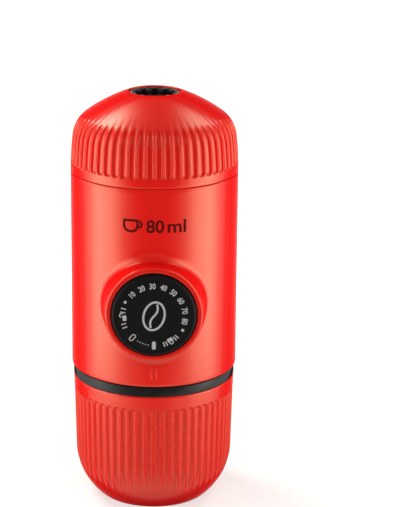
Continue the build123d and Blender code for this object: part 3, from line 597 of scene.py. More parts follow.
def smoothing_tree():
    """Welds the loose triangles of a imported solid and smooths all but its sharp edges."""
    existing = bpy.data.node_groups.get("Smooth all but sharp edges")
    if existing:
        return existing
    tree = Tree("Smooth all but sharp edges", Angle="Float")
    skin = tree.node(
        "GeometryNodeMergeByDistance", {"Geometry": tree.given("Geometry")}, {"Distance": MERGE}
    )
    faces = tree.node(
        "GeometryNodeSetShadeSmooth", {"Geometry": skin.outputs[0]}, {"Shade Smooth": True}
    )
    bend = tree.node("GeometryNodeInputMeshEdgeAngle")
    soft = tree.node(
        "FunctionNodeCompare",
        {"A": bend.outputs["Unsigned Angle"], "B": tree.given("Angle")},
        data_type="FLOAT",
        operation="LESS_THAN",
    )
    edges = tree.node(
        "GeometryNodeSetShadeSmooth",
        {"Geometry": faces.outputs[0], "Shade Smooth": soft.outputs[0]},
        domain="EDGE",
    )
    return tree.finish(edges.outputs[0])


def add_tree(piece, tree, **inputs):
    """Gives piece a geometry nodes modifier with its inputs set by the sockets' identifiers."""
    modifier = piece.modifiers.new(tree.name, "NODES")
    modifier.node_group = tree
    for socket in tree.interface.items_tree:
        if socket.in_out == "INPUT" and socket.name in inputs:
            modifier[socket.identifier] = inputs[socket.name]
    return modifier


def plain_mesh(piece):
    """New mesh of a piece as its modifiers or its curve leave it."""
    bpy.context.view_layer.update()
    ready = piece.evaluated_get(bpy.context.evaluated_depsgraph_get())
    return bpy.data.meshes.new_from_object(ready)


def apply_tree(piece, tree, **inputs):
    """Runs the tree on piece and keeps the result as a plain mesh."""
    modifier = add_tree(piece, tree, **inputs)
    mesh = plain_mesh(piece)
    piece.modifiers.remove(modifier)
    old = piece.data
    piece.data = mesh
    mesh.name = piece.name
    bpy.data.meshes.remove(old)


# ---- mesh helpers --------------------------------------------------------------------------------
def new_piece(name, vertices, faces, material=None):
    """A mesh object at the origin, linked to the scene."""
    mesh = bpy.data.meshes.new(name)
    mesh.from_pydata([tuple(v) for v in vertices], [], faces)
    mesh.validate()
    piece = bpy.data.objects.new(name, mesh)
    bpy.context.scene.collection.objects.link(piece)
    if material:
        mesh.materials.append(material)
    return piece


def clean(piece, sharp_degrees=32.0):
    """Merges doubles, turns faces outwards and smooths all but the sharp edges."""
    mesh = piece.data
    work = bmesh.new()
    work.from_mesh(mesh)
    bmesh.ops.remove_doubles(work, verts=work.verts, dist=MERGE)
    bmesh.ops.dissolve_degenerate(work, edges=work.edges, dist=MERGE / 10)
    bmesh.ops.recalc_face_normals(work, faces=work.faces)
    for face in work.faces:
        face.smooth = True
    for edge in work.edges:
        sharp = len(edge.link_faces) == 2 and edge.calc_face_angle(0) > math.radians(sharp_degrees)
        edge.smooth = not sharp
    work.to_mesh(mesh)
    work.free()
    return piece


def dress(piece, body, slot, *nodes):
    """Rides a finished piece on its body and hides the solids it stands for; slot is not used."""
    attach(piece, body)
    if nodes:
        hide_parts(*nodes)


def grid_faces(rows, columns, base=0, closed_rows=False, closed_columns=True):
    """Quads between points that are numbered from base, row by row."""
    faces = []
    for row in range(rows if closed_rows else rows - 1):
        here, there = base + row * columns, base + (row + 1) % rows * columns
        for column in range(columns if closed_columns else columns - 1):
            beside = (column + 1) % columns
            faces.append((here + column, here + beside, there + beside, there + column))
    return faces


def arc(centre, radius, start, end, count):
    """Points of an arc in the (radius, height) plane, angles in degrees."""
    angles = [math.radians(a) for a in steps(start, end, count)]
    return [(centre[0] + radius * math.cos(a), centre[1] + radius * math.sin(a)) for a in angles]


def line(start, end, count):
    """Points of a straight run, both ends included."""
    return list(zip(steps(start[0], end[0], count), steps(start[1], end[1], count)))


def tangent_arc(start, normal, end, count):
    """Arc from start to end whose radius at start points along normal, in degrees.

    Returns its points, its centre and its radius.
    """
    away = (math.cos(math.radians(normal)), math.sin(math.radians(normal)))
    run = (end[0] - start[0], end[1] - start[1])
    radius = -(run[0] ** 2 + run[1] ** 2) / (2 * (run[0] * away[0] + run[1] * away[1]))
    centre = (start[0] - radius * away[0], start[1] - radius * away[1])
    last = math.degrees(math.atan2(end[1] - centre[1], end[0] - centre[0]))
    return arc(centre, radius, normal, last, count), centre, radius


def outline(*runs):
    """Runs of points joined into one, without doubled joints."""
    points = []
    for run in runs:
        for point in run:
            if not points or math.dist(points[-1], point) > MERGE:
                points.append(point)
    return points


def on_cylinder(radius, turn, z):
    """Point on an upright cylinder, turned from the front."""
    return Vector((radius * math.sin(turn), -radius * math.cos(turn), z))


def turned(point, angle, centre=(0.0, 0.0)):
    """Flat point turned about the origin and moved to a centre."""
    (u, v), c, s = point, math.cos(angle), math.sin(angle)
    return (centre[0] + u * c - v * s, centre[1] + u * s + v * c)


def slot_loop(length, width):
    """Closed loop of an upright slot shape round the origin."""
    half, reach = width / 2, (length - width) / 2
    upper = [(half * math.cos(a), reach + half * math.sin(a)) for a in steps(0, math.pi, 8)]
    return upper + [(-u, -v) for u, v in upper]


# ---- fluted shells -------------------------------------------------------------------------------
def groove(across, past_nose, lost):
    """Depth of a flute with a flat floor and steep sides, and a softened crest beside it.

    Where depth is lost, at the running out, the flute also narrows.
    """
    flutes = settings().flutes
    share = max(FLUTE_NARROWEST, 1 - FLUTE_NARROWING * lost / flutes.depth)
    reach = flutes.width / 2 * share
    away = min(FLUTE_FAR, math.hypot(across, past_nose) / reach)
    cut = flutes.depth * (1 - away**FLUTE_SQUARENESS) - lost
    return (cut + math.hypot(cut, flutes.crest)) / 2


def fluted_shell(name, wall, nose_run, bend_run, runout, rest):
    """Shell of revolution whose wall carries the flutes.

    wall is the outer (radius, height) run from the plain rim beyond the flutes' noses, nose_run
    the distance along it of the first nose centre, bend_run where the wall starts to bend away
    from the cutter, and runout the length from there over which the flutes lose their depth.
    rest closes the section along the inside.
    """
    flutes = settings().flutes
    half = math.pi / flutes.count
    angles = [half * u for u in (*(-u for u in reversed(FLUTE_COLUMNS)), *FLUTE_COLUMNS[1:])]
    vertices, run = [], 0.0
    for index, point in enumerate(wall):
        before, after = wall[max(index - 1, 0)], wall[min(index + 1, len(wall) - 1)]
        if index:
            run += math.dist(before, point)
        tangent = Vector((after[0] - before[0], after[1] - before[1])).normalized()
        normal = Vector((abs(tangent.y), -tangent.x if tangent.y > 0 else tangent.x))
        past_nose = max(0.0, nose_run - run)
        lost = flutes.depth * (max(0.0, run - bend_run) / runout) ** 2
        for angle in angles:
            cut = groove(point[0] * (half - abs(angle)), past_nose, lost)
            vertices.append(on_cylinder(point[0] - normal.x * cut, angle, point[1] - normal.y * cut))
    for r, z in rest:
        vertices += [on_cylinder(r, angle, z) for angle in angles]
    rows = len(wall) + len(rest)
    faces = grid_faces(rows, len(angles), closed_rows=True, closed_columns=False)
    piece = new_piece(name, vertices, faces)
    apply_tree(piece, ring_tree(), Count=flutes.count, Material=satin_red())
    return clean(piece, sharp_degrees=50)


def flute_runs(wall, at_nose, at_bend):
    """Distances along the wall of the first flute's nose and of the bend."""
    run = nose_run = bend_run = 0.0
    for before, point in zip(wall, wall[1:]):
        run += math.dist(before, point)
        if at_nose(point[1]):
            nose_run = run
        if at_bend(point[1]):
            bend_run = run
    return nose_run, bend_run


def cup_shell():
    """The ribbed cup, upturned: its rim is uppermost and its foot is on the table."""
    top, top_r, edge = CUP_HIGH.z, CUP_HIGH.x, CUP_RIM_ROUND
    nose = settings().flutes.width / 2
    slope = (top_r - CUP_BEND_R) / (top - CUP_BEND_Z)
    taper = math.degrees(math.atan(slope))

    def wall_at(z):
        return (CUP_BEND_R + slope * (z - CUP_BEND_Z), z)

    _, centre, base_r = tangent_arc((CUP_BEND_R, CUP_BEND_Z), -taper, (CUP_FOOT_R, 0.0), 2)
    drop = centre[1] - CUP_FOOT_ROUND
    foot_x = centre[0] + math.sqrt((base_r - CUP_FOOT_ROUND) ** 2 - drop**2)
    foot_turn = -math.degrees(math.atan2(drop, foot_x - centre[0]))
    high, low = CUP_NOSE_Z + NOSE_AHEAD, CUP_NOSE_Z - NOSE_BEYOND * nose
    wall = outline(
        arc((wall_at(top)[0] - edge, top - edge), edge, 90, 0, 5),
        line(wall_at(top - edge), wall_at(high), 3),
        line(wall_at(high), wall_at(low), 18),
        line(wall_at(low), wall_at(CUP_BEND_Z), 8),
        arc(centre, base_r, -taper, foot_turn, 30),
        arc((foot_x, CUP_FOOT_ROUND), CUP_FOOT_ROUND, foot_turn, -90, 4),
    )
    nose_run, bend_run = flute_runs(
        wall, lambda z: z >= CUP_NOSE_Z - nose - MERGE, lambda z: z >= CUP_BEND_Z - MERGE
    )
    inner_bend = (CUP_BEND_R - CUP_WALL, CUP_BEND_Z)
    inner_foot = (CUP_FOOT_R - CUP_FLOOR_INSET, CUP_FLOOR)
    inner_r = top_r - CUP_WALL
    rest = outline(
        [(0.0, 0.0)],
        line((0.0, CUP_FLOOR), inner_foot, 3),
        reversed(tangent_arc(inner_bend, -taper, inner_foot, 12)[0]),
        [(inner_r, top - CUP_RIM_CHAMFER), (inner_r + CUP_RIM_CHAMFER, top)],
    )
    return fluted_shell("cup_shell", wall, nose_run, bend_run, CUP_RUNOUT, rest)


def cover_shell():
    """The ribbed cover of the brewing head, with its domed roof and outlet hole."""
    low, high = COVER_LOW.z, COVER_HIGH.z
    nose = settings().flutes.width / 2
    wall_centre = (BODY_R - COVER_ARC_R, COVER_BEND_Z)
    reach = COVER_ARC_R - SHOULDER_R
    centre = arc(wall_centre, reach, COVER_LEAN, COVER_LEAN, 1)[0]
    shoulder = arc(centre, SHOULDER_R, COVER_LEAN, SHOULDER_END, 24)
    roof, _, _ = tangent_arc(shoulder[-1], SHOULDER_END, (OUTLET_R + OUTLET_LIP, high), 9)

    def wall_angle(z):
        return math.degrees(math.asin((z - COVER_BEND_Z) / COVER_ARC_R))

    first, last = wall_angle(COVER_NOSE_Z - NOSE_AHEAD), wall_angle(COVER_NOSE_Z + NOSE_BEYOND * nose)
    wall = outline(
        arc((BODY_R - COVER_EDGE, low + COVER_EDGE), COVER_EDGE, -90, 0, 3),
        arc(wall_centre, COVER_ARC_R, 0, first, 3),
        arc(wall_centre, COVER_ARC_R, first, last, 18),
        arc(wall_centre, COVER_ARC_R, last, COVER_LEAN, 5),
        shoulder,
        roof,
        arc((OUTLET_R + OUTLET_ROUND, high - OUTLET_ROUND), OUTLET_ROUND, 90, 180, 5),
    )
    nose_run, bend_run = flute_runs(
        wall, lambda z: z <= COVER_NOSE_Z + nose + MERGE, lambda z: z <= shoulder[0][1] + MERGE
    )
    shelf, inner_r = low + SHELF_UP, BODY_R - COVER_WALL
    rest = outline(
        [(OUTLET_R, high - COLLAR_DEPTH), (COLLAR_R, high - COLLAR_DEPTH)],
        [(COLLAR_R, high - COLLAR_TOP)],
        reversed(arc(centre, SHOULDER_R - COVER_WALL, COVER_LEAN, SHOULDER_END, 8)),
        reversed(arc(wall_centre, COVER_ARC_R - COVER_WALL, LINING_START, COVER_LEAN, 3)),
        [(inner_r, shelf + SHELF_HIGH), (SHELF_RS[0], shelf + SHELF_HIGH), (SHELF_RS[1], shelf)],
        [(inner_r, shelf), (inner_r, low)],
    )
    return fluted_shell("cover_shell", wall, nose_run, bend_run, COVER_RUNOUT, rest)


# ---- body shell ----------------------------------------------------------------------------------
def boss_sections(direction):
    """Outer section of the boss along one direction round its axis, from the recess to the wall."""
    across, up = math.cos(direction), math.sin(direction)
    flat, lean = math.cos(BOSS_DRAFT), math.sin(BOSS_DRAFT)

    def at(r, y):
        return Vector((r * across, y, KNOB_Z + r * up))

    mouth = (RECESS_R + RECESS_ROUND, BOSS_RIM_Y + RECESS_ROUND)
    rim = (BOSS_RIM_R - BOSS_RIM_ROUND + BOSS_RIM_SHIFT, BOSS_RIM_Y + BOSS_RIM_ROUND)
    section = [(RECESS_R, RECESS_Y)] + arc(mouth, RECESS_ROUND, -180, -90, 3)
    section += arc(rim, BOSS_RIM_ROUND, -90, -math.degrees(BOSS_DRAFT), 6)
    points = [at(r, y) for r, y in section]
    # the blend is a ball rolled round the foot of the boss, on the flank and on the wall
    ball_y = -BODY_R
    for _ in range(BLEND_PASSES):
        ball_r = BOSS_RIM_R + (ball_y - BOSS_RIM_Y) * lean / flat + BOSS_BLEND / flat
        ball_y = -math.sqrt((BODY_R + BOSS_BLEND) ** 2 - (ball_r * across) ** 2)
    ball = at(ball_r, ball_y)
    to_flank = Vector((-across * flat, lean, -up * flat))
    to_wall = -Vector((ball.x, ball.y, 0)).normalized()
    start, foot = points[-1], ball + to_flank * BOSS_BLEND
    points += [start.lerp(foot, share) for share in steps(0, 1, 5)[1:]]
    points += [ball + to_flank.slerp(to_wall, share) * BOSS_BLEND for share in steps(0, 1, 10)[1:]]
    return points


def bored_sections(direction):
    """Inner section: from the recess floor through the bush's hole to the inside of the wall."""
    across, up = math.cos(direction), math.sin(direction)
    wall_y = -math.sqrt(SHELL_BORE_R**2 - (BUSH_HOLE_R * across) ** 2)
    section = ((RECESS_R, RECESS_Y), (BUSH_HOLE_R, RECESS_Y), (BUSH_HOLE_R, wall_y))
    return [Vector((r * across, y, KNOB_Z + r * up)) for r, y in section]


def tube_with_hole(radius, low, high, sections):
    """Quads of a cylinder wall with a square field round a hole, and the rings that fill it.

    sections maps a direction round the boss to a section that ends at the hole's edge. Returns
    the vertices, of which the first ring is that edge, the faces, the directions round the boss
    and the turns round the body.
    """
    across = steps(-FIELD, FIELD, FIELD_DIVISIONS)
    sides = (
        lambda t: (t, -FIELD),
        lambda t: (FIELD, t),
        lambda t: (-t, FIELD),
        lambda t: (-FIELD, -t),
    )
    square = [side(t) for side in sides for t in across[:-1]]
    directions = [math.atan2(v, u) for u, v in square]
    edge = [sections(direction)[-1] for direction in directions]
    vertices = list(edge)
    for share in steps(0, 1, FIELD_RINGS)[1:]:
        for (u, v), point in zip(square, edge):
            turn = lerp(math.atan2(point.x, -point.y), u / BODY_R, share)
            vertices.append(on_cylinder(radius, turn, lerp(point.z, KNOB_Z + v, share)))
    faces = grid_faces(FIELD_RINGS + 1, len(square))
    # the rest of the wall, in columns and rows that meet the square's
    turns = [t / BODY_R for t in across]
    turns += steps(turns[-1], math.tau + turns[0], WALL_COLUMNS)[1:-1]
    heights = steps(low, KNOB_Z - FIELD, ROWS_BELOW)[:-1]
    heights += [KNOB_Z + t for t in across]
    heights += steps(KNOB_Z + FIELD, high, ROWS_ABOVE)[1:]
    wall = grid_faces(len(heights), len(turns), len(vertices))
    vertices += [on_cylinder(radius, turn, z) for z in heights for turn in turns]
    for number, face in enumerate(wall):
        row, column = divmod(number, len(turns))
        beside_square = not ROWS_BELOW <= row < ROWS_BELOW + FIELD_DIVISIONS
        if beside_square or column >= FIELD_DIVISIONS:
            faces.append(face)
    return vertices, faces, directions, turns


def body_shell():
    """The red housing: a tube with the knob's boss blended into its wall."""
    low, high, edge = SHELL_LOW.z + SHELL_LIFT, SHELL_HIGH.z, SHELL_EDGE
    vertices, faces, directions, turns = tube_with_hole(
        BODY_R, low + edge, high - edge, boss_sections
    )
    inner, inner_faces, _, _ = tube_with_hole(SHELL_BORE_R, low + SHELL_LIP, high, bored_sections)
    base = len(vertices)
    vertices += inner
    faces += [tuple(base + i for i in reversed(face)) for face in inner_faces]
    sections = [bored_sections(a)[::-1][:-1] + boss_sections(a) for a in directions]
    faces += grid_faces(
        len(sections), len(sections[0]), len(vertices), closed_rows=True, closed_columns=False
    )
    for section in sections:
        vertices += section
    # rounded top and bottom edges
    top = arc((BODY_R - edge, high - edge), edge, 0, 90, 3) + [(SHELL_BORE_R, high)]
    bottom = arc((BODY_R - edge, low + edge), edge, 0, -90, 3) + [(SHELL_LIP_R, low)]
    bottom += [(SHELL_LIP_R, low + SHELL_LIP), (SHELL_BORE_R, low + SHELL_LIP)]
    for section in (top, bottom[::-1]):
        faces += grid_faces(len(section), len(turns), len(vertices))
        vertices += [on_cylinder(r, turn, z) for r, z in section for turn in turns]
    for side in (-1, 1):
        add_mark(vertices, faces, side * MARK_PITCH / 2)
    piece = new_piece("housing", vertices, faces, satin_red())
    return clean(piece, sharp_degrees=40)


def add_mark(vertices, faces, across):
    """One of the two raised alignment marks below the knob, rounded all over."""
    loop = slot_loop(MARK_LENGTH, MARK_WIDTH)
    base, count = len(vertices), len(loop)
    for inset, height in MARK_LEVELS:
        shift = MARK_WIDTH / 2 * (1 - inset)
        for u, v in loop:
            turn = (across + u * inset) / BODY_R
            v -= math.copysign(min(abs(v), shift), v)
            vertices.append(on_cylinder(BODY_R + height * MARK_RISE, turn, MARK_Z + v))
    faces += grid_faces(len(MARK_LEVELS), count, base)
    faces.append(tuple(range(len(vertices) - count, len(vertices))))
    faces.append(tuple(reversed(range(base, base + count))))


# ---- prints --------------------------------------------------------------------------------------
class Print:
    """Thin raised marks, drawn flat as (across, up) and placed on a surface by a mapping."""

    def __init__(self, place):
        self.place = place
        self.vertices, self.faces = [], []

    def add(self, points, faces):
        """Adds flat points given as (across, up, level) with level 0 below and 1 on top."""
        base = len(self.vertices)
        self.vertices += [self.place(*point) for point in points]
        self.faces += [tuple(base + i for i in face) for face in faces]

    def prism(self, loop):
        """Adds the area inside a closed loop."""
        count = len(loop)
        points = [(u, v, level) for level in (0, 1) for u, v in loop]
        ends = [tuple(range(count, 2 * count)), tuple(reversed(range(count)))]
        self.add(points, grid_faces(2, count) + ends)

    def stroke(self, run, width, closed=False):
        """Adds a line of even width along a run of points."""
        count = len(run)
        left, right = [], []
        for index, (u, v) in enumerate(run):
            if closed:
                before, after = run[index - 1], run[(index + 1) % count]
            else:
                before, after = run[max(index - 1, 0)], run[min(index + 1, count - 1)]
            along = Vector((after[0] - before[0], after[1] - before[1])).normalized()
            left.append((u - along.y * width / 2, v + along.x * width / 2))
            right.append((u + along.y * width / 2, v - along.x * width / 2))
        points = [(u, v, level) for level in (0, 1) for side in (left, right) for u, v in side]
        quads = []
        for i in range(count if closed else count - 1):
            j = (i + 1) % count
            quads.append((2 * count + i, 3 * count + i, 3 * count + j, 2 * count + j))
            quads.append((i, j, count + j, count + i))
            quads.append((i, 2 * count + i, 2 * count + j, j))
            quads.append((count + i, count + j, 3 * count + j, 3 * count + i))
        if not closed:
            for i in (0, count - 1):
                quads.append((i, count + i, 3 * count + i, 2 * count + i))
        self.add(points, quads)

    def disc(self, centre, radius):
        self.prism([turned((radius, 0), a, centre) for a in steps(0, math.tau, 16)[:-1]])

    def words(self, text, centre, height, width, turn=0.0):
        """Adds lettering of the given capital height and unit width, turned about its centre."""
        points, faces = lettering(text)
        placed = [(*turned((u * width, v * height), turn, centre), level) for u, v, level in points]
        self.add(placed, faces)

    def piece(self, name, material):
        return clean(new_piece(name, self.vertices, self.faces, material), sharp_degrees=30)


def lettering(text):
    """Points and faces of text in the built-in font, centred, with capitals one unit high."""
    curve = bpy.data.curves.new("lettering", "FONT")
    curve.body = text
    curve.align_x = "CENTER"
    curve.extrude = 0.1
    curve.offset = LETTER_WEIGHT
    curve.resolution_u = 4
    holder = bpy.data.objects.new("lettering", curve)
    bpy.context.scene.collection.objects.link(holder)
    mesh = plain_mesh(holder)
    places = [v.co for v in mesh.vertices]
    middle = (min(p.x for p in places) + max(p.x for p in places)) / 2
    points = [((p.x - middle) / CAPITAL, p.y / CAPITAL - 0.5, int(p.z > 0)) for p in places]
    faces = [tuple(polygon.vertices) for polygon in mesh.polygons]
    bpy.data.objects.remove(holder)
    bpy.data.curves.remove(curve)
    bpy.data.meshes.remove(mesh)
    return points, faces


def divided(loop, longest):
    """Closed loop with its long sides cut into short ones, which follow a curved surface."""
    points = []
    for before, after in zip(loop, loop[1:] + loop[:1]):
        count = max(1, math.ceil(math.dist(before, after) / longest))
        points += line(before, after, count)[:-1]
    return points


def polar(radius, degrees):
    return turned((radius, 0), math.radians(degrees))


def knob_face():
    """The knob's black disc, set a hair below the cap's rim so that its print stands flush."""
    face, edge = KNOB_FACE + PRINT_RISE, DISC_EDGE
    back = KNOB_FACE + DISC_THICK
    rows = [(0.0, back), (DISC_R, back), (DISC_R, face + edge)]
    rows += [(DISC_R - edge * 0.3, face + edge * 0.3), (DISC_R - edge, face)]
    rows += [(DISC_R / 2, face), (0.0, face)]
    turns = steps(0, math.tau, DISC_COLUMNS)[:-1]
    vertices = [(r * math.cos(a), y, KNOB_Z + r * math.sin(a)) for r, y in rows for a in turns]
    return clean(new_piece("knob_face", vertices, grid_faces(len(rows), DISC_COLUMNS), knob_black()))


def knob_marks():
    """The knob's print: dots, the two lock positions, ticks, plain numbers and a coffee bean."""

    def place(u, v, level):
        return (u, KNOB_FACE + PRINT_DEPTH * (1 - level), KNOB_Z + v)

    marks = Print(place)
    for degrees in DOT_TURNS:
        marks.disc(polar(DOT_RING, degrees), DOT_R)
    for degrees in steps(*TRAIL_TURNS, 4):
        marks.disc(polar(SLOT_RING, degrees), TRAIL_DOT_R)
    centre = polar(SLOT_RING, SLOT_TURN)
    marks.prism([turned(point, 0.0, centre) for point in slot_loop(*SLOT_SIZE)])
    turn, centre = math.radians(OPEN_SLOT_TURN + 90), polar(OPEN_SLOT_RING, OPEN_SLOT_TURN)
    slot = [turned(point, turn, centre) for point in slot_loop(*OPEN_SLOT_SIZE)]
    marks.stroke(slot, FINE_LINE, closed=True)
    for index, degrees in enumerate(steps(*NUMBER_TURNS, 7)):
        centre, turn = polar(NUMBER_RING, degrees), math.radians(degrees - 90)
        width = NUMBER_HEIGHT * NUMBER_NARROW
        marks.words(str(10 * (index + 1)), centre, NUMBER_HEIGHT, width, turn)
    for middle, spread, shut in LOCKS:
        for step in (-2, -1, 1, 2):
            degrees = middle + spread * step + math.copysign(TICK_MARGIN, step)
            marks.stroke([polar(ring, degrees) for ring in TICK_RINGS], TICK_LINE)
        padlock(marks, middle, shut)
    bean(marks)
    return marks.piece("knob_marks", print_grey())


def padlock(marks, degrees, shut):
    """Small padlock whose top points outwards from the knob's middle."""
    centre = polar(SLOT_RING, degrees)

    def at(u, v):
        return turned((u * MM, v * MM), math.radians(degrees - 90), centre)

    low, high = LOCK_LOW, LOCK_HIGH
    corners = ((-LOCK_HALF, low), (LOCK_HALF, low), (LOCK_HALF, high), (-LOCK_HALF, high))
    marks.prism([at(*corner) for corner in corners])
    shift, foot = (0.0, BOW_FOOT) if shut else (BOW_SHIFT, BOW_FREE_END)
    bow = [at(shift - BOW_R, foot), at(shift - BOW_R, BOW_Z)]
    bow += [at(u, v) for u, v in arc((shift, BOW_Z), BOW_R, 180, 0, 8)]
    bow += [at(shift + BOW_R, BOW_FOOT)]
    marks.stroke(bow, FINE_LINE)


def bean(marks):
    """Outline of a coffee bean in the middle of the knob."""
    turns = steps(0, math.tau, 56)[:-1]
    rim = [(BEAN_WIDE * math.cos(a), BEAN_TALL * math.sin(a)) for a in turns]
    marks.stroke([turned(point, BEAN_LEAN) for point in rim], BEAN_LINE, closed=True)
    reach = BEAN_TALL * SEAM_REACH
    seam = [(SEAM_SWAY * math.sin(v * math.pi), v * reach) for v in steps(-1, 1, 28)]
    marks.stroke([turned(point, BEAN_LEAN) for point in seam], SEAM_LINE)


def body_print():
    """Dark red print above the knob: a cup and the volume of its shot."""

    def place(u, v, level):
        rise = lerp(BODY_PRINT_FOOT, BODY_PRINT_TOP, level)
        return on_cylinder(BODY_R + rise, u / BODY_R, PRINT_Z + v)

    marks = Print(place)
    cup = list(CUP_SIDE) + [(2 * CUP_MIDDLE - u, v) for u, v in reversed(CUP_SIDE)]
    cup = divided([(u * MM, v * MM) for u, v in cup], CUP_STEP)
    marks.stroke(cup, CUP_LINE, closed=True)
    gap = math.degrees(HANDLE_GAP)
    handle = arc(HANDLE_CENTRE, HANDLE_R, 90 - gap, gap - 90, 12)
    marks.stroke([(u * MM, v * MM) for u, v in handle], HANDLE_LINE)
    for text, middle, width in WORDS:
        points, _ = lettering(text)
        wide = max(p[0] for p in points) - min(p[0] for p in points)
        marks.words(text, (middle, 0), LETTER_HEIGHT, width / wide)
    return marks.piece("body_print", print_red())


# ---- outlet --------------------------------------------------------------------------------------
def spout_crown():
    """Gloss black spout in the cover's outlet, with a scalloped well round its tip."""
    top, low, edge = COVER_HIGH.z - CROWN_DROP, NOZZLE_LOW.z, CROWN_EDGE
    floor, seat = COVER_HIGH.z - WELL_FLOOR, COVER_HIGH.z - CROWN_SEAT
    tip_top = top - TIP_DROP
    outside = [(SPOUT_BORE_R, low), (STEM_R, low), (STEM_R, seat)]
    outside += [(CROWN_R - CROWN_CHAMFER, seat), (CROWN_R, seat + CROWN_CHAMFER)]
    outside += arc((CROWN_R - edge, top - edge), edge, 0, 90, 4)
    tip = [(TIP_FOOT_R, floor), (TIP_R, tip_top - TIP_CHAMFER), (TIP_R - TIP_CHAMFER, tip_top)]
    tip += [(TIP_MOUTH_R, tip_top), (TIP_MOUTH_R - TIP_MOUTH_CHAMFER, tip_top - TIP_MOUTH_CHAMFER)]
    tip += [(SPOUT_BORE_R, low)]
    vertices, columns = [], SCALLOPS * SCALLOP_COLUMNS
    for turn in steps(0, math.tau, columns)[:-1]:
        lobe = abs(math.sin(turn * SCALLOPS / 2))
        well = lerp(WELL_R, CROWN_R - CROWN_WALL, math.sqrt(lobe))
        wall = arc((well + edge, top - edge), edge, 90, 180, 4)
        section = outside + wall + [(well - WELL_TAPER, floor)] + tip
        vertices += [on_cylinder(r, turn, z) for r, z in section]
    faces = grid_faces(columns, len(section), closed_rows=True)
    return clean(new_piece("spout_crown", vertices, faces, gloss_black()), sharp_degrees=40)


# ---- screw threads -------------------------------------------------------------------------------
def screw_thread(name, radius, depth, lead, span, starts, phase, material):
    """Ridge of a screw thread: it winds up the axis at the lead and runs out at both ends.

    depth is the height of the ridge, negative for a ridge that stands inwards, and phase the
    share of a turn at which it starts.
    """
    turns = (span[1] - span[0]) / lead
    count = max(THREAD_STEPS // 4, int(THREAD_STEPS * turns))
    root = radius - math.copysign(THREAD_SUNK, depth)
    vertices = []
    for t in steps(0, 1, count):
        turn, z = math.tau * (phase + turns * t), lerp(*span, t)
        crest = radius + depth * min(1.0, THREAD_RUNOUT * t * turns, THREAD_RUNOUT * (1 - t) * turns)
        profile = ((root, -THREAD_FOOT), (crest, -THREAD_TIP), (crest, THREAD_TIP), (root, THREAD_FOOT))
        vertices += [on_cylinder(r, turn, z + up) for r, up in profile]
    faces = grid_faces(count + 1, 4) + [(3, 2, 1, 0), tuple(count * 4 + i for i in range(4))]
    piece = new_piece(name, vertices, faces)
    apply_tree(piece, ring_tree(), Count=starts, Material=material)
    return clean(piece, sharp_degrees=25)


# ---- operators -----------------------------------------------------------------------------------
class ESPRESSO_OT_cup(Operator):
    """Makes the ribbed drinking cup"""

    bl_idname = "espresso.cup"
    bl_label = "Cup"

    def execute(self, context):
        dress(cup_shell(), "cup", "red_plastic", "cup")
        return {"FINISHED"}


class ESPRESSO_OT_cover(Operator):
    """Makes the ribbed cover of the brewing head and the spout in its outlet"""

    bl_idname = "espresso.cover"
    bl_label = "Head cover"

    def execute(self, context):
        dress(cover_shell(), "head", "red_plastic", "head_cover")
        dress(spout_crown(), "head", "gloss_black", "nozzle")
        return {"FINISHED"}


class ESPRESSO_OT_housing(Operator):
    """Makes the red housing with the boss round the knob"""

    bl_idname = "espresso.housing"
    bl_label = "Housing"

    def execute(self, context):
        dress(body_shell(), "main", "red_plastic", "body_shell")
        return {"FINISHED"}


class ESPRESSO_OT_marks(Operator):
    """Makes the knob's face and the prints of the knob and the housing"""

    bl_idname = "espresso.marks"
    bl_label = "Knob face and prints"

    def execute(self, context):
        dress(knob_face(), "knob", "knob_black", "knob_disc")
        dress(knob_marks(), "knob", "knob_black")
        dress(body_print(), "main", "red_plastic")
        return {"FINISHED"}


class ESPRESSO_OT_threads(Operator):
    """Winds the screw threads of the tank and of the brewing head"""

    bl_idname = "espresso.threads"
    bl_label = "Screw threads"

    def execute(self, context):
        # a thread and its mate lie half a pitch apart, so that they never touch
        outward, inward = THREAD_DEPTH, -THREAD_DEPTH
        neck, skirt = (NECK_LEAD, NECK_SPAN, 1), (SKIRT_LEAD, SKIRT_SPAN, 2)
        for name, body, slot, radius, depth, winding, phase in (
            ("tank_thread", "tank", "dark_plastic", NECK_R, outward, neck, 0.0),
            ("socket_thread", "main", "inner_plastic", SOCKET_R, inward, neck, 0.5),
            ("skirt_thread", "head", "inner_plastic", SKIRT_R, outward, skirt, 0.0),
            ("bore_thread", "main", "inner_plastic", HEAD_BORE_R, inward, skirt, 0.25),
        ):
            ridge = screw_thread(name, radius, depth, *winding, phase, FINISHES[slot]())
            dress(ridge, body, slot)
        return {"FINISHED"}


class ESPRESSO_OT_solids(Operator):
    """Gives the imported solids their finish"""

    bl_idname = "espresso.solids"
    bl_label = "Carried-over solids"

    def execute(self, context):
        for row in frame["record"]["subparts"]:
            solid = frame["nodes"][row["node"]]
            solid.data.materials.clear()
            solid.data.materials.append(FINISHES[row["material_slot"]]())
            add_tree(solid, smoothing_tree(), Angle=math.radians(32))
        return {"FINISHED"}


def area_light(name, power, size, place, target, tint=(1, 1, 1)):
    """Rectangular lamp aimed at a point."""
    lamp = bpy.data.lights.new(name, "AREA")
    lamp.shape = "RECTANGLE"
    lamp.size, lamp.size_y = size
    lamp.energy = power
    lamp.color = tint
    holder = bpy.data.objects.new(name, lamp)
    bpy.context.scene.collection.objects.link(holder)
    holder.location = place
    aim = Vector(target) - Vector(place)
    holder.rotation_euler = aim.to_track_quat("-Z", "Y").to_euler()
    return holder


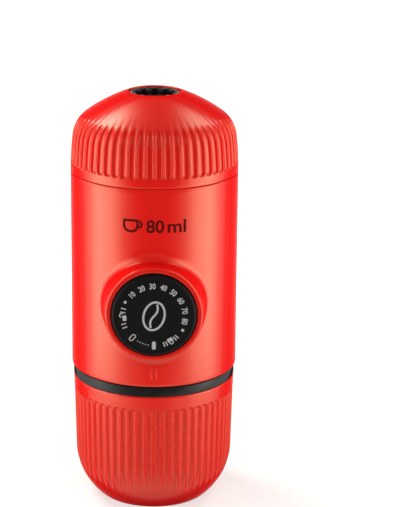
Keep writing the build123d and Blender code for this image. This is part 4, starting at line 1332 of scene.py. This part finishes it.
class ESPRESSO_OT_stage(Operator):
    """Sets the pale floor, the lamps and the camera"""

    bl_idname = "espresso.stage"
    bl_label = "Stage"

    def execute(self, context):
        scene, studio = context.scene, settings().studio
        scene.view_settings.view_transform = "Standard"
        self.floor()
        self.world(scene)
        self.lamps(studio)
        self.camera(scene, studio)
        return {"FINISHED"}

    def lamps(self, studio):
        """Tall softboxes beside the maker, large ones high behind it and a panel in front."""
        height = STRIP_SIZE[1] / 2
        beside = (("strip", STRIP_TURN, studio.side_power), ("fill", FILL_TURN, studio.fill_power))
        rise = math.radians(REAR_RISE)
        for side in (-1, 1):
            for label, degrees, power in beside:
                place = on_cylinder(STRIP_AWAY, math.radians(degrees) * side, height)
                strip = area_light(f"{label}_{side}", power, STRIP_SIZE, place, (0, 0, height), WARM)
                strip.visible_camera = False
            turn = math.radians(REAR_TURN) * side
            place = on_cylinder(REAR_AWAY * math.cos(rise), turn, REAR_AWAY * math.sin(rise))
            power = studio.rear_power * (studio.rear_share if side > 0 else 1.0)
            area_light(f"rear_box_{side}", power, REAR_SIZE, REAR_TARGET + place, REAR_TARGET, WARM)
        area_light("front_panel", studio.front_power, FRONT_SIZE, FRONT_PLACE, FRONT_TARGET)

    def camera(self, scene, studio):
        camera = bpy.data.cameras.new("camera")
        camera.lens = studio.lens
        camera.shift_x = SHIFT_X
        camera.shift_y = SHIFT_Y
        camera.clip_start = 0.01
        holder = bpy.data.objects.new("camera", camera)
        scene.collection.objects.link(holder)
        holder.location = (0, -studio.distance, studio.height)
        tilt = Matrix.Rotation(math.pi / 2 - studio.pitch, 3, "X")
        holder.rotation_euler = (tilt @ Matrix.Rotation(ROLL, 3, "Z")).to_euler()
        scene.camera = holder

    def floor(self):
        far = FLOOR_HALF
        corners = [(-far, -far, 0), (far, -far, 0), (far, far, 0), (-far, far, 0)]
        new_piece("floor", corners, [(0, 1, 2, 3)], self.floor_paper())

    def floor_paper(self):
        """White paper: it takes the maker's shadow near by and is plain white further out."""
        material, tree, shader = new_material("studio_floor")
        tree.nodes.remove(shader)
        place = add_node(tree, "ShaderNodeTexCoord")
        away = add_node(
            tree, "ShaderNodeVectorMath", {0: place.outputs["Object"]}, operation="LENGTH"
        )
        near = add_node(
            tree, "ShaderNodeMapRange", {"Value": away.outputs["Value"]},
            {
                "From Min": SHADOW_REACH[0], "From Max": SHADOW_REACH[1],
                "To Min": PAPER_GLOW, "To Max": 1.0,
            },
            interpolation_type="SMOOTHSTEP",
        )
        glow = add_node(tree, "ShaderNodeEmission", {"Strength": near.outputs["Result"]})
        colour = (*settings().colours.floor, 1)
        paper = add_node(tree, "ShaderNodeBsdfDiffuse", values={"Color": colour})
        seen = add_node(tree, "ShaderNodeAddShader", {0: paper.outputs[0], 1: glow.outputs[0]})
        self.pick(tree, paper, seen, "Material Output")
        return material

    def world(self, scene):
        """Even light from all round, and a white backdrop under a darker ceiling."""
        world = bpy.data.worlds.new("studio")
        scene.world = world
        world.use_nodes = True
        tree = world.node_tree
        sky = tree.nodes["Background"]
        sky.inputs["Color"].default_value = (1, 1, 1, 1)
        sky.inputs["Strength"].default_value = settings().studio.sky
        place = add_node(tree, "ShaderNodeTexCoord")
        split = add_node(tree, "ShaderNodeSeparateXYZ", {0: place.outputs["Generated"]})
        ceiling = add_node(
            tree, "ShaderNodeMapRange", {"Value": split.outputs["Z"]},
            {
                "From Min": CEILING_RISE[0], "From Max": CEILING_RISE[1],
                "To Min": 1.0, "To Max": CEILING,
            },
        )
        shown = add_node(
            tree, "ShaderNodeBackground", {"Strength": ceiling.outputs["Result"]},
            {"Color": (1, 1, 1, 1)},
        )
        self.pick(tree, sky, shown, "World Output")

    def pick(self, tree, lit, seen, output):
        """Shows seen to camera, glossy and transmission rays, and lit to all others."""
        path = add_node(tree, "ShaderNodeLightPath")
        rays = path.outputs["Is Camera Ray"]
        for name in ("Is Glossy Ray", "Is Transmission Ray"):
            links = {0: rays, 1: path.outputs[name]}
            rays = add_node(tree, "ShaderNodeMath", links, operation="MAXIMUM").outputs[0]
        links = {"Fac": rays, 1: lit.outputs[0], 2: seen.outputs[0]}
        mixed = add_node(tree, "ShaderNodeMixShader", links)
        connect(tree, tree.nodes[output], {"Surface": mixed.outputs[0]})


class ESPRESSO_PT_maker(Panel):
    """Lists the steps that dress the maker."""

    bl_label = "Espresso Maker"
    bl_space_type = "VIEW_3D"
    bl_region_type = "UI"
    bl_category = "Espresso Maker"

    def draw(self, context):
        for step in STEPS:
            self.layout.operator(step.bl_idname)
        maker = context.scene.espresso_maker
        for group in (maker.flutes, maker.colours, maker.studio):
            box = self.layout.box()
            for name in group.bl_rna.properties.keys():
                if name not in {"rna_type", "name"}:
                    box.prop(group, name)


STEPS = (
    ESPRESSO_OT_solids,
    ESPRESSO_OT_housing,
    ESPRESSO_OT_cover,
    ESPRESSO_OT_cup,
    ESPRESSO_OT_marks,
    ESPRESSO_OT_threads,
    ESPRESSO_OT_stage,
)
GROUPS = (FluteSettings, ColourSettings, StudioSettings, MakerSettings)


def register():
    for item in (*GROUPS, *STEPS, ESPRESSO_PT_maker):
        bpy.utils.register_class(item)
    bpy.types.Scene.espresso_maker = PointerProperty(type=MakerSettings)


def unregister():
    del bpy.types.Scene.espresso_maker
    for item in reversed((*GROUPS, *STEPS, ESPRESSO_PT_maker)):
        bpy.utils.unregister_class(item)


def main():
    register()
    for step in STEPS:
        space, name = step.bl_idname.split(".")
        getattr(getattr(bpy.ops, space), name)()


if __name__ == "__main__":
    main()
